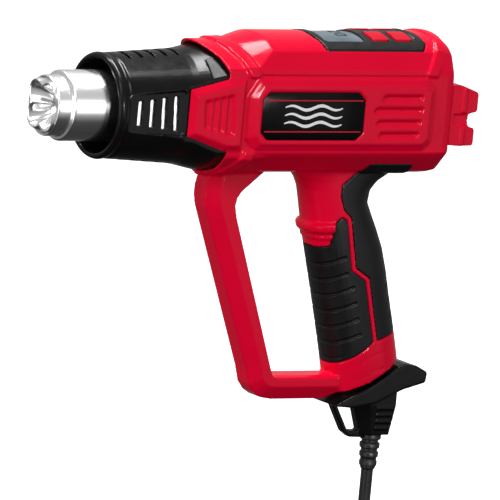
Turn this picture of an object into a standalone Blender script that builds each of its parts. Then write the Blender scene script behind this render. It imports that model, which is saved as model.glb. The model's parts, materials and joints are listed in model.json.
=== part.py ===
"""A corded two-handed heat gun: clamshell housing with a closed guard handle, steel outlet, blower inside.

Metres. X runs from the outlet (-X) to the rear (+X), -Y is the gun's left side and +Z is up. The origin is
the middle of the grip. Shapes are drawn in the barrel's own frame, which starts at the centre of the mouth of
the outlet: x is the distance back from the mouth and z the height over the barrel's axis.
"""
import math

import bmesh
import bpy
from mathutils import Matrix, Vector

MOUTH = Vector((-0.207, 0.0, 0.095))  # the outlet's mouth, from the middle of the grip
GAP = 0.0003  # clearance left between pieces that touch

# Outlet and heat sleeve
OUTLET_R = 0.0171
OUTLET_LENGTH = 0.0085
TUBE_R = 0.01985
TUBE_WALL = 0.001
TUBE_END = 0.128
SLEEVE_FRONT = 0.032
SLEEVE_BACK = 0.1125
SLEEVE_BORE = 0.0265
SLEEVE_FLAT = 0.0288
SLOT_FIRST = 0.0441
SLOT_PITCH = 0.0077
SLOT_WIDTH = 0.0024

# Housing
COLLAR_R = 0.0378
COLLAR_FRONT = 0.0935
COLLAR_BACK = 0.119
BODY_FRONT = 0.128
BODY_BACK = 0.2365
BODY_END = 0.250
SIDE_Y = 0.031
WALL = 0.00195
BODY_HALF = (
    (0.0, 0.0427),
    (0.014, 0.0407),
    (0.024, 0.0365),
    (0.029, 0.0290),
    (SIDE_Y, 0.0190),
    (SIDE_Y, 0.0),
    (SIDE_Y, -0.0175),
    (0.0285, -0.0230),
    (0.018, -0.0335),
    (0.0, -0.0360),
)
LABEL_X = (0.123, 0.190)
LABEL_Z = (-0.014, 0.0125)
LABEL_T = 0.0008
LOUVRE_X = (0.197, 0.230)
LOUVRE_TOP = 0.0115
LOUVRE_PITCH = 0.0071

# Handle: height, front edge, back edge and half width of each level section
HANDLE = (
    (-0.030, 0.1600, 0.2340, 0.0165),
    (-0.036, 0.1680, 0.2260, 0.0165),
    (-0.044, 0.1725, 0.2165, 0.0167),
    (-0.053, 0.1745, 0.2135, 0.0170),
    (-0.066, 0.1775, 0.2195, 0.0178),
    (-0.079, 0.1810, 0.2250, 0.0183),
    (-0.105, 0.1885, 0.2325, 0.0185),
    (-0.139, 0.1975, 0.2415, 0.0183),
    (-0.1655, 0.2030, 0.2470, 0.0175),
)
LEAN = math.radians(16.0)
SKIN = 0.0022  # rubber thickness
GUARD_HALF = 0.0105
FOOT_CUT = ((0.1900, -0.1656), (0.2081, -0.1656), (0.2600, -0.1305), (0.2600, -0.2), (0.1900, -0.2))
CORD_X = 0.2342

# Outlines of the guard, the collar's side plate and the grips, as (x, z)
GUARD_OUTLINE = (
    (0.1100, -0.0300),
    (0.1060, -0.0480),
    (0.1074, -0.0566),
    (0.1440, -0.1480),
    (0.1470, -0.1580),
    (0.1530, -0.1635),
    (0.1610, -0.1655),
    (0.2150, -0.1655),
    (0.2150, -0.1523),
    (0.1605, -0.1523),
    (0.1590, -0.1490),
    (0.1266, -0.0610),
    (0.1253, -0.0550),
    (0.1284, -0.0480),
    (0.1410, -0.0370),
    (0.1430, -0.0300),
)
FINGER = (
    (0.0770, 0.0134),
    (0.0770, -0.0114),
    (0.0980, -0.0190),
    (0.1190, -0.0190),
    (0.1190, 0.0188),
    (0.0980, 0.0188),
)
STRIPE = ((0.1904, -0.0602), (0.1941, -0.0631), (0.2006, -0.0910), (0.2110, -0.0961), (0.2197, -0.1326))
STRIPE_HALF = 0.0009
FRONT_GRIP = (
    *((x - STRIPE_HALF, z) for x, z in STRIPE),
    (0.2190, -0.1340),
    (0.1900, -0.1520),
    (0.1600, -0.1520),
    (0.1600, -0.0830),
    (0.1868, -0.0740),
    (0.1870, -0.0640),
)
BACK_GRIP = (
    (0.1895, -0.0560),
    *((x + STRIPE_HALF, z) for x, z in STRIPE),
    (0.2600, -0.1230),
    (0.2600, -0.0368),
    (0.1990, -0.0368),
    (0.1880, -0.0450),
)

# Power switch
SWITCH_AT = (0.2155, -0.0785)  # the rocker's pivot
SWITCH_FACE = 0.0062
POCKET_R = 0.0098
ROCKER_R = 0.0092

# Housing screws, as (x, z)
SCREWS = (
    (0.1370, 0.0300),
    (0.1370, -0.0285),
    (0.2370, 0.0230),
    (0.1510, -0.1570),
    (0.1850, -0.0480),
    (0.2110, -0.1480),
)
BOSS_R = 0.0035
SCREW_HEAD_R = 0.0030
SCREW_SHANK_R = 0.0016
HEAD_DEPTH = 0.0045

# Control panel
PANEL_X = (0.1645, 0.233)
PANEL_HALF = 0.022
PANEL_FLOOR = 0.0345
PANEL_WALL = 0.002
CROWN_R = 0.050
CROWN_TOP = 0.0424
LCD_X = (0.1695, 0.1945)
LCD_HALF = 0.0165
BUTTON_X = (0.20545, 0.22075)
BUTTON_Y = 0.0109
BUTTON_SIZE = (0.0116, 0.0132)
BUTTON_RISE = 0.0009
BOARD_Z = 0.0300
BOARD_T = 0.0016

# Blower
MOTOR_X = (0.185, 0.224)
MOTOR_R = 0.0175
SHAFT_R = 0.0016
FAN_X = (0.163, 0.179)
FAN_R = 0.0235
HUB_R = 0.006
BLADES = 9

# Cord
CORD_R = 0.0035
BOOT_TOP = -0.1875
BOOT_END = -0.208
COIL_CENTRE = (CORD_X, 0.0, -0.3130)
COIL_R = (0.0315, 0.0455)
COIL_HALF = 0.0175
TIE_HALF = 0.004
PIN_R = 0.0024
PIN_X = 0.0095
INNER_ROUTE = (
    (0.2145, 0.0, -0.1170),
    (0.2165, 0.0, -0.1240),
    (0.2200, 0.0, -0.1320),
    (0.2265, 0.0, -0.1400),
    (0.2325, 0.0, -0.1480),
    (CORD_X, 0.0, -0.1570),
    (CORD_X, 0.0, -0.1800),
    (CORD_X, 0.0, BOOT_END),
)
DROP_ROUTE = (
    (CORD_X, 0.0, BOOT_END - GAP),
    (CORD_X, 0.0, -0.2180),
    (CORD_X, 0.0, -0.2280),
    (CORD_X - 0.0022, -0.0050, -0.2400),
    (CORD_X - 0.0085, -0.0110, -0.2510),
    (CORD_X - 0.0176, -0.0140, -0.2610),
    (CORD_X - 0.0260, -0.0140, -0.2690),
)
TAIL_ROUTE = (
    (CORD_X - 0.0400, -0.0215, -0.3200),
    (CORD_X - 0.0420, -0.0215, -0.3300),
    (CORD_X - 0.0420, -0.0200, -0.3410),
    (CORD_X - 0.0420, -0.0190, -0.3520),
)
PLUG_TOP = -0.3520

PARTS = "heat_gun"
collections = {}


def clear_scene():
    """Removes what the start-up file holds and makes the two collections."""
    for obj in list(bpy.data.objects):
        bpy.data.objects.remove(obj, do_unlink=True)
    for name in (PARTS, "cutters"):
        collections[name] = bpy.data.collections.new(name)
        bpy.context.scene.collection.children.link(collections[name])


def finish_material(name, colour, roughness, metallic=0.0):
    """A Principled material of one colour."""
    mat = bpy.data.materials.new(name)
    mat.use_nodes = True
    shader = mat.node_tree.nodes["Principled BSDF"]
    shader.inputs["Base Color"].default_value = (*colour, 1.0)
    shader.inputs["Roughness"].default_value = roughness
    shader.inputs["Metallic"].default_value = metallic
    return mat


FINISHES = {
    "red": ((0.70, 0.010, 0.045), 0.32, 0.0),
    "black": ((0.022, 0.022, 0.024), 0.5, 0.0),
    "rubber": ((0.030, 0.031, 0.032), 0.7, 0.0),
    "steel": ((0.72, 0.72, 0.73), 0.22, 1.0),
    "panel": ((0.075, 0.075, 0.08), 0.45, 0.0),
    "display": ((0.30, 0.38, 0.42), 0.15, 0.0),
    "button": ((0.62, 0.012, 0.040), 0.35, 0.0),
    "ceramic": ((0.80, 0.77, 0.70), 0.6, 0.0),
    "mica": ((0.55, 0.48, 0.33), 0.5, 0.0),
    "board": ((0.02, 0.16, 0.07), 0.5, 0.0),
    "copper": ((0.72, 0.40, 0.22), 0.35, 1.0),
    "white": ((0.80, 0.80, 0.78), 0.5, 0.0),
    "aluminium": ((0.75, 0.76, 0.78), 0.4, 1.0),
}


# ---------------------------------------------------------------- shape helpers


def hold(mesh, name):
    """A working object round a mesh, in the cutters' collection until it is handed over."""
    obj = bpy.data.objects.new(name, mesh)
    collections["cutters"].objects.link(obj)
    obj.hide_render = True
    obj.display_type = "WIRE"
    return obj


def settle(obj):
    """Replaces an object by the mesh that its curve or modifiers make, welded and facing out."""
    graph = bpy.context.evaluated_depsgraph_get()
    mesh = bpy.data.meshes.new_from_object(obj.evaluated_get(graph))
    mesh.transform(obj.matrix_world)
    work = bmesh.new()
    work.from_mesh(mesh)
    bmesh.ops.remove_doubles(work, verts=work.verts, dist=1e-6)
    bmesh.ops.recalc_face_normals(work, faces=work.faces)
    work.to_mesh(mesh)
    work.free()
    name = obj.name
    bpy.data.objects.remove(obj, do_unlink=True)
    return hold(mesh, name)


def from_bmesh(work, name):
    mesh = bpy.data.meshes.new(name)
    bmesh.ops.recalc_face_normals(work, faces=work.faces)
    work.to_mesh(mesh)
    work.free()
    return hold(mesh, name)


def box(low, high, name="box"):
    """A box between two corners."""
    work = bmesh.new()
    bmesh.ops.create_cube(work, size=1.0)
    size = Vector(high) - Vector(low)
    middle = (Vector(high) + Vector(low)) / 2
    place = Matrix.Translation(middle) @ Matrix.Diagonal((*size, 1))
    bmesh.ops.transform(work, matrix=place, verts=work.verts)
    return from_bmesh(work, name)


AXES = {
    "X": Matrix(((0, 0, 1, 0), (1, 0, 0, 0), (0, 1, 0, 0), (0, 0, 0, 1))),
    "Y": Matrix(((1, 0, 0, 0), (0, 0, -1, 0), (0, 1, 0, 0), (0, 0, 0, 1))),
    "Z": Matrix.Identity(4),
}


def rod(start, radius, length, axis="X", sides=16, name="rod"):
    """A cylinder from a point along +X, -Y or +Z."""
    work = bmesh.new()
    bmesh.ops.create_cone(work, cap_ends=True, segments=sides, radius1=radius, radius2=radius, depth=length)
    place = Matrix.Translation(Vector(start)) @ AXES[axis] @ Matrix.Translation((0, 0, length / 2))
    bmesh.ops.transform(work, matrix=place, verts=work.verts)
    return from_bmesh(work, name)


def turned(profile, start=(0, 0, 0), axis="X", sides=24, closed=True, name="turned"):
    """Turns a profile of (radius, distance along the axis) points. An open profile starts and ends at 0."""
    mesh = bpy.data.meshes.new(name)
    edges = [(i, i + 1) for i in range(len(profile) - 1)]
    if closed:
        edges.append((len(profile) - 1, 0))
    mesh.from_pydata([(r, 0.0, h) for r, h in profile], edges, [])
    obj = hold(mesh, name)
    screw = obj.modifiers.new("turn", "SCREW")
    screw.steps = screw.render_steps = sides
    screw.use_merge_vertices = True
    screw.merge_threshold = 1e-5
    obj.matrix_world = Matrix.Translation(Vector(start)) @ AXES[axis]
    return settle(obj)


def plate(outlines, low, high, normal="Y", name="plate", bevel=0.0):
    """A flat plate between two levels along its normal. Each outline is a closed loop; inner ones are holes.

    Points are (x, z) on a plate facing Y, (y, z) on one facing X and (x, y) on one facing Z."""
    curve = bpy.data.curves.new(name, "CURVE")
    curve.dimensions = "2D"
    curve.fill_mode = "BOTH"
    curve.extrude = (high - low) / 2
    for outline in outlines:
        spline = curve.splines.new("POLY")
        spline.points.add(len(outline) - 1)
        for point, (u, v) in zip(spline.points, outline, strict=True):
            point.co = (u, v, 0.0, 1.0)
        spline.use_cyclic_u = True
    obj = bpy.data.objects.new(name, curve)
    collections["cutters"].objects.link(obj)
    shift = {"X": (1, 0, 0), "Y": (0, 1, 0), "Z": (0, 0, 1)}[normal]
    obj.matrix_world = Matrix.Translation(Vector(shift) * (low + high) / 2) @ AXES[normal]
    bpy.context.view_layer.update()
    obj = settle(obj)
    if bevel:
        edge = obj.modifiers.new("edges", "BEVEL")
        edge.width = bevel
        edge.segments = 1
        edge.limit_method = "ANGLE"
        edge.angle_limit = math.radians(60)
        obj = settle(obj)
    return obj


def loft(rings, name="loft"):
    """A closed solid through rings of equally many points."""
    work = bmesh.new()
    loops = [[work.verts.new(p) for p in ring] for ring in rings]
    for a, b in zip(loops, loops[1:]):
        for i in range(len(a)):
            j = (i + 1) % len(a)
            work.faces.new((a[i], a[j], b[j], b[i]))
    work.faces.new(loops[0])
    work.faces.new(loops[-1])
    return from_bmesh(work, name)


def combine(obj, others, how):
    """Cuts, joins or intersects an object with each of the others, and removes them."""
    for other in others:
        change = obj.modifiers.new(how, "BOOLEAN")
        change.operation = how
        change.object = other
        change.solver = "EXACT"
        obj = settle(obj)
        bpy.data.objects.remove(other, do_unlink=True)
    return obj


def cut(obj, *others):
    return combine(obj, others, "DIFFERENCE")


def join(obj, *others):
    return combine(obj, others, "UNION")


def common(obj, *others):
    return combine(obj, others, "INTERSECT")


def copy(obj):
    return hold(obj.data.copy(), obj.name)


def tube(points, radius, name, resolution=2):
    """A round bar along a line of points."""
    curve = bpy.data.curves.new(name, "CURVE")
    curve.dimensions = "3D"
    curve.bevel_depth = radius
    curve.bevel_resolution = resolution
    curve.use_fill_caps = True
    spline = curve.splines.new("POLY")
    spline.points.add(len(points) - 1)
    for point, place in zip(spline.points, points, strict=True):
        point.co = (*place, 1.0)
    obj = bpy.data.objects.new(name, curve)
    collections["cutters"].objects.link(obj)
    return settle(obj)


def inset_outline(outline, distance):
    """Moves each side of an anticlockwise or clockwise outline in by a distance."""
    count = len(outline)
    area = sum(
        outline[i][0] * outline[(i + 1) % count][1] - outline[(i + 1) % count][0] * outline[i][1]
        for i in range(count)
    )
    turn = 1 if area > 0 else -1
    moved = []
    for i, point in enumerate(outline):
        before = Vector(point) - Vector(outline[i - 1])
        after = Vector(outline[(i + 1) % count]) - Vector(point)
        normals = [Vector((-d.y, d.x)).normalized() * turn for d in (before, after)]
        bisector = (normals[0] + normals[1]).normalized()
        moved.append(tuple(Vector(point) + bisector * distance / max(bisector.dot(normals[0]), 0.4)))
    return moved


def turns_of(count):
    """Evenly spaced angles round a circle."""
    return [2 * math.pi * i / count for i in range(count)]


def smooth_line(points, steps):
    """Points read from a Catmull-Rom curve through a hand-set route."""
    route = [Vector(p) for p in points]
    route = [2 * route[0] - route[1], *route, 2 * route[-1] - route[-2]]
    line = []
    for a, b, c, d in zip(route, route[1:], route[2:], route[3:]):
        for k in range(steps):
            t = k / steps
            square = (2 * a - 5 * b + 4 * c - d) * t**2
            cube = (3 * b - a - 3 * c + d) * t**3
            line.append(0.5 * (2 * b + (c - a) * t + square + cube))
    return [*line, route[-2]]


def hand_over(obj, name, finish, origin=(0.0, 0.0, 0.0)):
    """Names a finished piece, gives it its material and origin and parents it to the frame."""
    obj.name = obj.data.name = name
    obj.data.transform(Matrix.Translation(-Vector(origin)))
    obj.location = origin
    obj.parent = bpy.data.objects["barrel_frame"]
    collections["cutters"].objects.unlink(obj)
    collections[PARTS].objects.link(obj)
    obj.hide_render = False
    obj.display_type = "TEXTURED"
    obj.data.materials.clear()
    obj.data.materials.append(finish_material(name, *FINISHES[finish]))
    obj.data.shade_smooth()
    obj.data.set_sharp_from_angle(angle=math.radians(35))
    return obj


# ---------------------------------------------------------------- outlines


def full_ring(half, inset=0.0, scale=1.0):
    """The closed (y, z) ring of a half outline, moved in towards the barrel's axis."""
    ring = list(half) + [(-y, z) for y, z in reversed(half[1:-1])]
    out = []
    for y, z in ring:
        reach = math.hypot(y, z)
        k = (reach * scale - inset) / reach
        out.append((y * k, z * k))
    return out


def collar_half():
    """The collar's outline at the body outline's own angles: a circle with flat sides."""
    half = []
    for y, z in BODY_HALF:
        angle = math.atan2(z, y)
        side = abs(math.cos(angle))
        reach = min(COLLAR_R, SIDE_Y / side) if side > 1e-6 else COLLAR_R
        half.append((reach * math.cos(angle) if y else 0.0, reach * math.sin(angle)))
    return half


def body_solid(inset=0.0, front=COLLAR_FRONT):
    """The barrel of the housing, or its cavity when it is inset."""
    collar = collar_half()
    stations = (
        (front, collar, 1.0),
        (COLLAR_BACK, collar, 1.0),
        (BODY_FRONT, BODY_HALF, 1.0),
        (BODY_BACK, BODY_HALF, 1.0),
        (BODY_END - 0.0045 - inset / 2, BODY_HALF, 0.93),
        (BODY_END - inset, BODY_HALF, 0.82),
    )
    return loft([[(x, y, z) for y, z in full_ring(half, inset, k)] for x, half, k in stations], "body")


def handle_solid(inset=0.0, points=16):
    """The handle through its level sections, or its core, a little longer, when it is inset."""
    rings = []
    longer = 0.004 if inset else 0.0
    ends = {HANDLE[0][0]: longer, HANDLE[-1][0]: -longer}
    for z, front, back, half in HANDLE:
        middle, reach = (front + back) / 2, (back - front) / 2 - inset
        ring = []
        for i in range(points):
            angle = 2 * math.pi * (i + 0.5) / points
            c, s = math.cos(angle), math.sin(angle)
            k = (abs(c) ** 2.5 + abs(s) ** 2.5) ** (-1 / 2.5)
            ring.append((middle + reach * k * c, (half - inset) * k * s, z + ends.get(z, 0.0)))
        rings.append(ring)
    return loft(rings, "handle")


def along_handle(u, w):
    """A point u up the handle's lean and w out of its back, from the middle of the power switch."""
    x, z = SWITCH_AT
    return x + w * math.cos(LEAN) - u * math.sin(LEAN), z + w * math.sin(LEAN) + u * math.cos(LEAN)


# ---------------------------------------------------------------- housing, grips and screws


def body_half_width(z):
    """The body's half width at a height over the barrel's axis."""
    for (y0, z0), (y1, z1) in zip(BODY_HALF, BODY_HALF[1:]):
        if z1 <= z <= z0:
            return y0 + (y1 - y0) * (z0 - z) / (z0 - z1)
    return 0.0


def boss_reach(x, z):
    """How far out a screw boss goes before it meets the wall."""
    if z > -0.04:
        return body_half_width(z + math.copysign(BOSS_R, z)) - 0.0004
    return GUARD_HALF - 0.001 if x < 0.165 else 0.0145


def screw_bores():
    """Bores for the housing screws: a counterbore from the right and a blind hole into the left."""
    bores = []
    for x, z in SCREWS:
        seat = boss_reach(x, z) - HEAD_DEPTH
        bores.append(rod((x, 0.045, z), SCREW_HEAD_R + GAP, 0.045 - seat, "Y", 12))
        bores.append(rod((x, seat + 0.001, z), SCREW_SHANK_R + GAP, seat + 0.0088, "Y", 10))
    return bores


def screws():
    for number, (x, z) in enumerate(SCREWS, 1):
        seat = boss_reach(x, z) - HEAD_DEPTH + GAP
        profile = (
            (0.0, -0.0026),
            (SCREW_HEAD_R, -0.0020),
            (SCREW_HEAD_R, 0.0),
            (SCREW_SHANK_R, 0.0),
            (SCREW_SHANK_R, seat + 0.006),
            (0.0, seat + 0.007),
        )
        piece = turned(profile, (x, seat, z), "Y", 10, False)
        hand_over(piece, f"housing_screw_{number}", "steel", (x, 0, z))


def housing_shell():
    """The whole outer moulding before it is parted, hollow, with its openings."""
    shell = body_solid()
    for side in (-1, 1):
        levels = sorted((side * 0.0291, side * SIDE_Y))
        shell = join(shell, plate([FINGER], *levels))
    shell = join(shell, handle_solid(SKIN))
    red_zone = cut(
        handle_solid(),
        plate([inset_outline(FRONT_GRIP, -GAP)], -0.03, 0.03),
        plate([inset_outline(BACK_GRIP, -GAP)], -0.03, 0.03),
    )
    shell = join(shell, red_zone, plate([GUARD_OUTLINE], -GUARD_HALF, GUARD_HALF, bevel=0.003))
    shell = cut(shell, plate([FOOT_CUT], -0.05, 0.05))
    socket = rod((COLLAR_FRONT - 0.01, 0, 0), 0.0358, SLEEVE_BACK - COLLAR_FRONT + 0.0105, sides=28)
    shell = cut(
        shell,
        common(socket, box((0.07, -0.02905, -0.05), (0.13, 0.02905, 0.05))),
        body_solid(WALL, COLLAR_FRONT - 0.02),
        handle_solid(SKIN + 0.0022),
        plate([inset_outline(GUARD_OUTLINE, 0.0024)], 0.0024 - GUARD_HALF, GUARD_HALF - 0.0024),
        panel_hole(),
    )
    return shell


def panel_hole():
    """The opening for the control panel in the crown."""
    half = PANEL_HALF + GAP
    return box((PANEL_X[0] - GAP, -half, PANEL_FLOOR - 0.0006), (PANEL_X[1] + GAP, half, 0.05))


def side_cutters(side):
    """Label recess and louvres of one side."""
    tools = []
    recess = sorted((side * (SIDE_Y - 0.0008), side * 0.040))
    tools.append(plate([label_outline(-GAP)], *recess))
    for row in range(4):
        z = LOUVRE_TOP - row * LOUVRE_PITCH
        start = LOUVRE_X[0] + (0.006 if row == 0 else 0.0)
        low, high = sorted((side * 0.020, side * 0.040))
        tools.append(box((start, low, z - 0.001), (LOUVRE_X[1], high, z + 0.001)))
    return tools


def label_outline(inset=0.0):
    (left, right), (low, high) = LABEL_X, LABEL_Z
    corner = 0.004
    outline = (
        (left + corner, low),
        (right - corner, low),
        (right, low + corner),
        (right, high - corner),
        (right - corner, high),
        (left + corner, high),
        (left, high - corner),
        (left, low + corner),
    )
    return inset_outline(outline, inset)


def rear_slots():
    """The intake openings in the rear wall."""
    return [
        box((0.244, middle - 0.002, -0.014), (0.256, middle + 0.002, 0.014))
        for middle in (-0.018, -0.011, -0.004, 0.004, 0.011, 0.018)
    ]


def switch_hole():
    """The opening for the power switch in the back of the handle."""
    corners = ((-0.0122, -0.012), (0.0122, -0.012), (0.0122, 0.03), (-0.0122, 0.03))
    return plate([[along_handle(u, w) for u, w in corners]], -0.0078, 0.0078)


def bosses(side):
    """Screw posts from the wall to just short of the parting plane."""
    posts = []
    for x, z in SCREWS:
        reach = boss_reach(x, z)
        start = reach if side > 0 else -GAP / 2
        length = reach - GAP / 2
        posts.append(rod((x, start, z), BOSS_R, length, "Y", 12))
    return posts


def housing():
    whole = housing_shell()
    whole = cut(whole, *rear_slots(), switch_hole())
    for side, name in ((-1, "housing_left"), (1, "housing_right")):
        low, high = sorted((side * GAP / 2, side * 0.06))
        half = common(copy(whole), box((0.0, low, -0.3), (0.3, high, 0.1)))
        half = join(half, *bosses(side))
        half = cut(half, *side_cutters(side), *screw_bores())
        hand_over(half, name, "red")
    bpy.data.objects.remove(whole, do_unlink=True)


def grips():
    """The rubber skins on the handle, front and back, one each side."""
    for zone, word in ((FRONT_GRIP, "front"), (BACK_GRIP, "back")):
        skin = cut(handle_solid(), handle_solid(SKIN - 2 * GAP))
        skin = common(skin, plate([zone], -0.03, 0.03))
        skin = cut(skin, switch_hole(), body_solid(-GAP))
        for side, hand in ((-1, "left"), (1, "right")):
            low, high = sorted((side * GAP / 2, side * 0.06))
            half = common(copy(skin), box((0.0, low, -0.3), (0.3, high, 0.1)))
            hand_over(half, f"grip_{word}_{hand}", "rubber")
        bpy.data.objects.remove(skin, do_unlink=True)


def labels():
    for side, hand in ((-1, "left"), (1, "right")):
        inner = SIDE_Y - 0.0008 + GAP
        low, high = sorted((side * inner, side * (inner + LABEL_T)))
        hand_over(plate([label_outline(GAP)], low, high), f"label_{hand}", "black")


# ---------------------------------------------------------------- hot end


def heat_sleeve():
    outer = (
        (SLEEVE_BORE, SLEEVE_BACK - 0.010),
        (0.0320, SLEEVE_BACK),
        (0.0355, SLEEVE_BACK),
        (0.0355, 0.0960),
        (0.0322, 0.0820),
        (0.0295, 0.0370),
        (0.02965, SLEEVE_FRONT + 0.001),
        (0.0285, SLEEVE_FRONT),
        (SLEEVE_BORE, SLEEVE_FRONT),
    )
    sleeve = turned(outer, sides=28)
    for side in (-1, 1):
        low, high = sorted((side * SLEEVE_FLAT, side * 0.05))
        sleeve = cut(sleeve, box((0.040, low, -0.05), (0.13, high, 0.05)))
    for k in range(4):
        x = SLOT_FIRST + k * SLOT_PITCH
        half = 0.0070 + 0.0009 * k
        sleeve = cut(sleeve, box((x - SLOT_WIDTH / 2, -0.05, -half), (x + SLOT_WIDTH / 2, 0.05, half)))
    for k in range(5):
        x = SLOT_FIRST + k * SLOT_PITCH
        sleeve = cut(sleeve, box((x - SLOT_WIDTH / 2, -0.008, -0.05), (x + SLOT_WIDTH / 2, 0.008, 0.05)))
    hand_over(sleeve, "heat_sleeve", "black")


def outlet_tube():
    outer = (
        (TUBE_R - TUBE_WALL, TUBE_END),
        (TUBE_R, TUBE_END),
        (TUBE_R, OUTLET_LENGTH),
        (OUTLET_R, OUTLET_LENGTH),
        (OUTLET_R, 0.0006),
        (OUTLET_R - 0.0006, 0.0),
        (OUTLET_R - TUBE_WALL, 0.0006),
        (OUTLET_R - TUBE_WALL, OUTLET_LENGTH + 0.0012),
        (TUBE_R - TUBE_WALL, OUTLET_LENGTH + 0.0012),
    )
    hand_over(turned(outer, sides=28), "outlet_tube", "steel")


def mixer_radius(angle):
    """Four lobes at 45 degrees with deep folds between them."""
    wave = 0.5 - 0.5 * math.cos(4 * angle)
    return 0.0066 + 0.0088 * wave**0.8


def flow_mixer():
    outer = [(mixer_radius(a) * math.cos(a), mixer_radius(a) * math.sin(a)) for a in turns_of(48)]
    hand_over(plate([outer, inset_outline(outer, 0.0006)], -0.001, 0.0130, "X"), "flow_mixer", "steel")


def ring_x(inner, outer, start, end, sides=24):
    return turned(((inner, end), (outer, end), (outer, start), (inner, start)), sides=sides)


def heater():
    hand_over(ring_x(0.0170, 0.0176, 0.032, 0.122), "mica_tube", "mica")
    core = rod((0.040, 0, 0), 0.0062, 0.076, sides=12)
    for turn in range(2):
        fin = box((0.040, -0.0010, -0.0135), (0.116, 0.0010, 0.0135))
        fin.data.transform(Matrix.Rotation(turn * math.pi / 2, 4, "X"))
        core = join(core, fin)
    core = cut(core, rod((0.030, 0, 0), 0.0022, 0.10, sides=10))
    hand_over(core, "ceramic_core", "ceramic")
    turns, steps = 9, 12
    line = [
        (
            0.046 + 0.064 * i / (turns * steps),
            0.0148 * math.cos(2 * math.pi * i / steps),
            0.0148 * math.sin(2 * math.pi * i / steps),
        )
        for i in range(turns * steps + 1)
    ]
    hand_over(tube(line, 0.0006, "coil", 0), "heating_coil", "copper")
    hand_over(rod((0.022, 0, 0), 0.0012, 0.030, sides=8), "temperature_sensor", "steel")
    shield = ring_x(TUBE_R + GAP, 0.0318, 0.1155, 0.1167)
    shield = common(shield, box((0.11, -0.0285, -0.05), (0.13, 0.0285, 0.05)))
    hand_over(shield, "heat_shield", "steel")


# ---------------------------------------------------------------- blower


def air_duct():
    outer = (
        (0.0250, 0.1820),
        (0.0265, 0.1820),
        (0.0265, 0.1600),
        (0.0222, 0.1320),
        (0.0207, 0.1200),
        (TUBE_R + GAP, 0.1200),
        (TUBE_R + GAP, 0.1290),
        (0.0208, 0.1320),
        (0.0250, 0.1600),
    )
    hand_over(turned(outer, sides=22), "air_duct", "black")


def impeller():
    outline = []
    for blade in range(BLADES):
        start = 2 * math.pi * blade / BLADES
        for turn, reach in ((0.0, HUB_R), (0.22, FAN_R), (0.28, FAN_R), (0.32, HUB_R)):
            outline.append((reach * math.cos(start + turn), reach * math.sin(start + turn)))
    blades = plate([outline], FAN_X[0], FAN_X[1] - 0.001, "X")
    wheel = join(blades, rod((FAN_X[1] - 0.002, 0, 0), FAN_R, 0.0016, sides=18))
    wheel = cut(wheel, rod((FAN_X[0] - 0.01, 0, 0), SHAFT_R + GAP, 0.04, sides=10))
    hand_over(wheel, "fan_impeller", "white")


def motor():
    can = rod((MOTOR_X[0], 0, 0), MOTOR_R, MOTOR_X[1] - MOTOR_X[0], sides=20)
    can = join(can, rod((MOTOR_X[1] - 0.001, 0, 0), 0.006, 0.004, sides=12))
    can = cut(can, rod((MOTOR_X[0] - 0.01, 0, 0), SHAFT_R + GAP, 0.048, sides=10))
    hand_over(can, "motor", "aluminium")
    hand_over(rod((FAN_X[0] - 0.001, 0, 0), SHAFT_R, 0.058, sides=10), "motor_shaft", "steel")
    plate_outline = [(0.0264 * math.cos(a), 0.0264 * math.sin(a)) for a in turns_of(20)]
    holes = [[(0.0070 * math.cos(a), 0.0070 * math.sin(a)) for a in turns_of(12)]]
    for k in range(6):
        angle = (k + 0.5) * math.pi / 3
        y, z = 0.0222 * math.cos(angle), 0.0222 * math.sin(angle)
        holes.append([(y + 0.0030 * math.cos(a), z + 0.0030 * math.sin(a)) for a in turns_of(8)])
    hand_over(plate([plate_outline, *holes], 0.1825, 0.1845, "X"), "motor_mount", "black")


def dust_filter():
    frame = box((0.2395, -0.0225, -0.0165), (0.2420, 0.0225, 0.0165))
    for k in range(4):
        y = -0.0205 + 0.0104 * k
        frame = cut(frame, box((0.230, y, -0.0145), (0.250, y + 0.0094, 0.0145)))
    hand_over(frame, "dust_filter", "black")


def rear_stand():
    """The frame behind the intake, with four pads that the gun stands on."""
    stand = box((BODY_END + GAP, -0.0275, -0.0190), (0.2590, 0.0275, 0.0165))
    stand = cut(stand, box((0.24, -0.0205, -0.0140), (0.27, 0.0205, 0.0140)))
    for side in (-1, 1):
        for low, high in ((-0.0190, -0.0079), (0.0010, 0.0124)):
            y0, y1 = sorted((side * 0.0205, side * 0.0275))
            stand = join(stand, box((0.2580, y0, low), (0.2680, y1, high)))
    hand_over(stand, "rear_stand", "red")


# ---------------------------------------------------------------- control panel


def crowned(x_range, half, thickness, top=CROWN_TOP, middle=0.0, floor=None):
    """A block whose top follows the panel's crown; its underside follows it too unless a floor is given."""
    ys = [middle - half + 2 * half * i / 6 for i in range(7)]
    crown = [(y, top - (CROWN_R - math.sqrt(CROWN_R**2 - y**2))) for y in ys]
    if floor is None:
        under = [(y, z - thickness) for y, z in reversed(crown)]
    else:
        under = [(ys[-1], floor), (ys[0], floor)]
    ring = crown + under
    return loft([[(x, y, z) for y, z in ring] for x in x_range], "crown")


def button_places():
    for x, end in zip(BUTTON_X, ("front", "rear"), strict=True):
        for side, hand in ((-1, "left"), (1, "right")):
            yield x, side * BUTTON_Y, f"{end}_{hand}"


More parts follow.
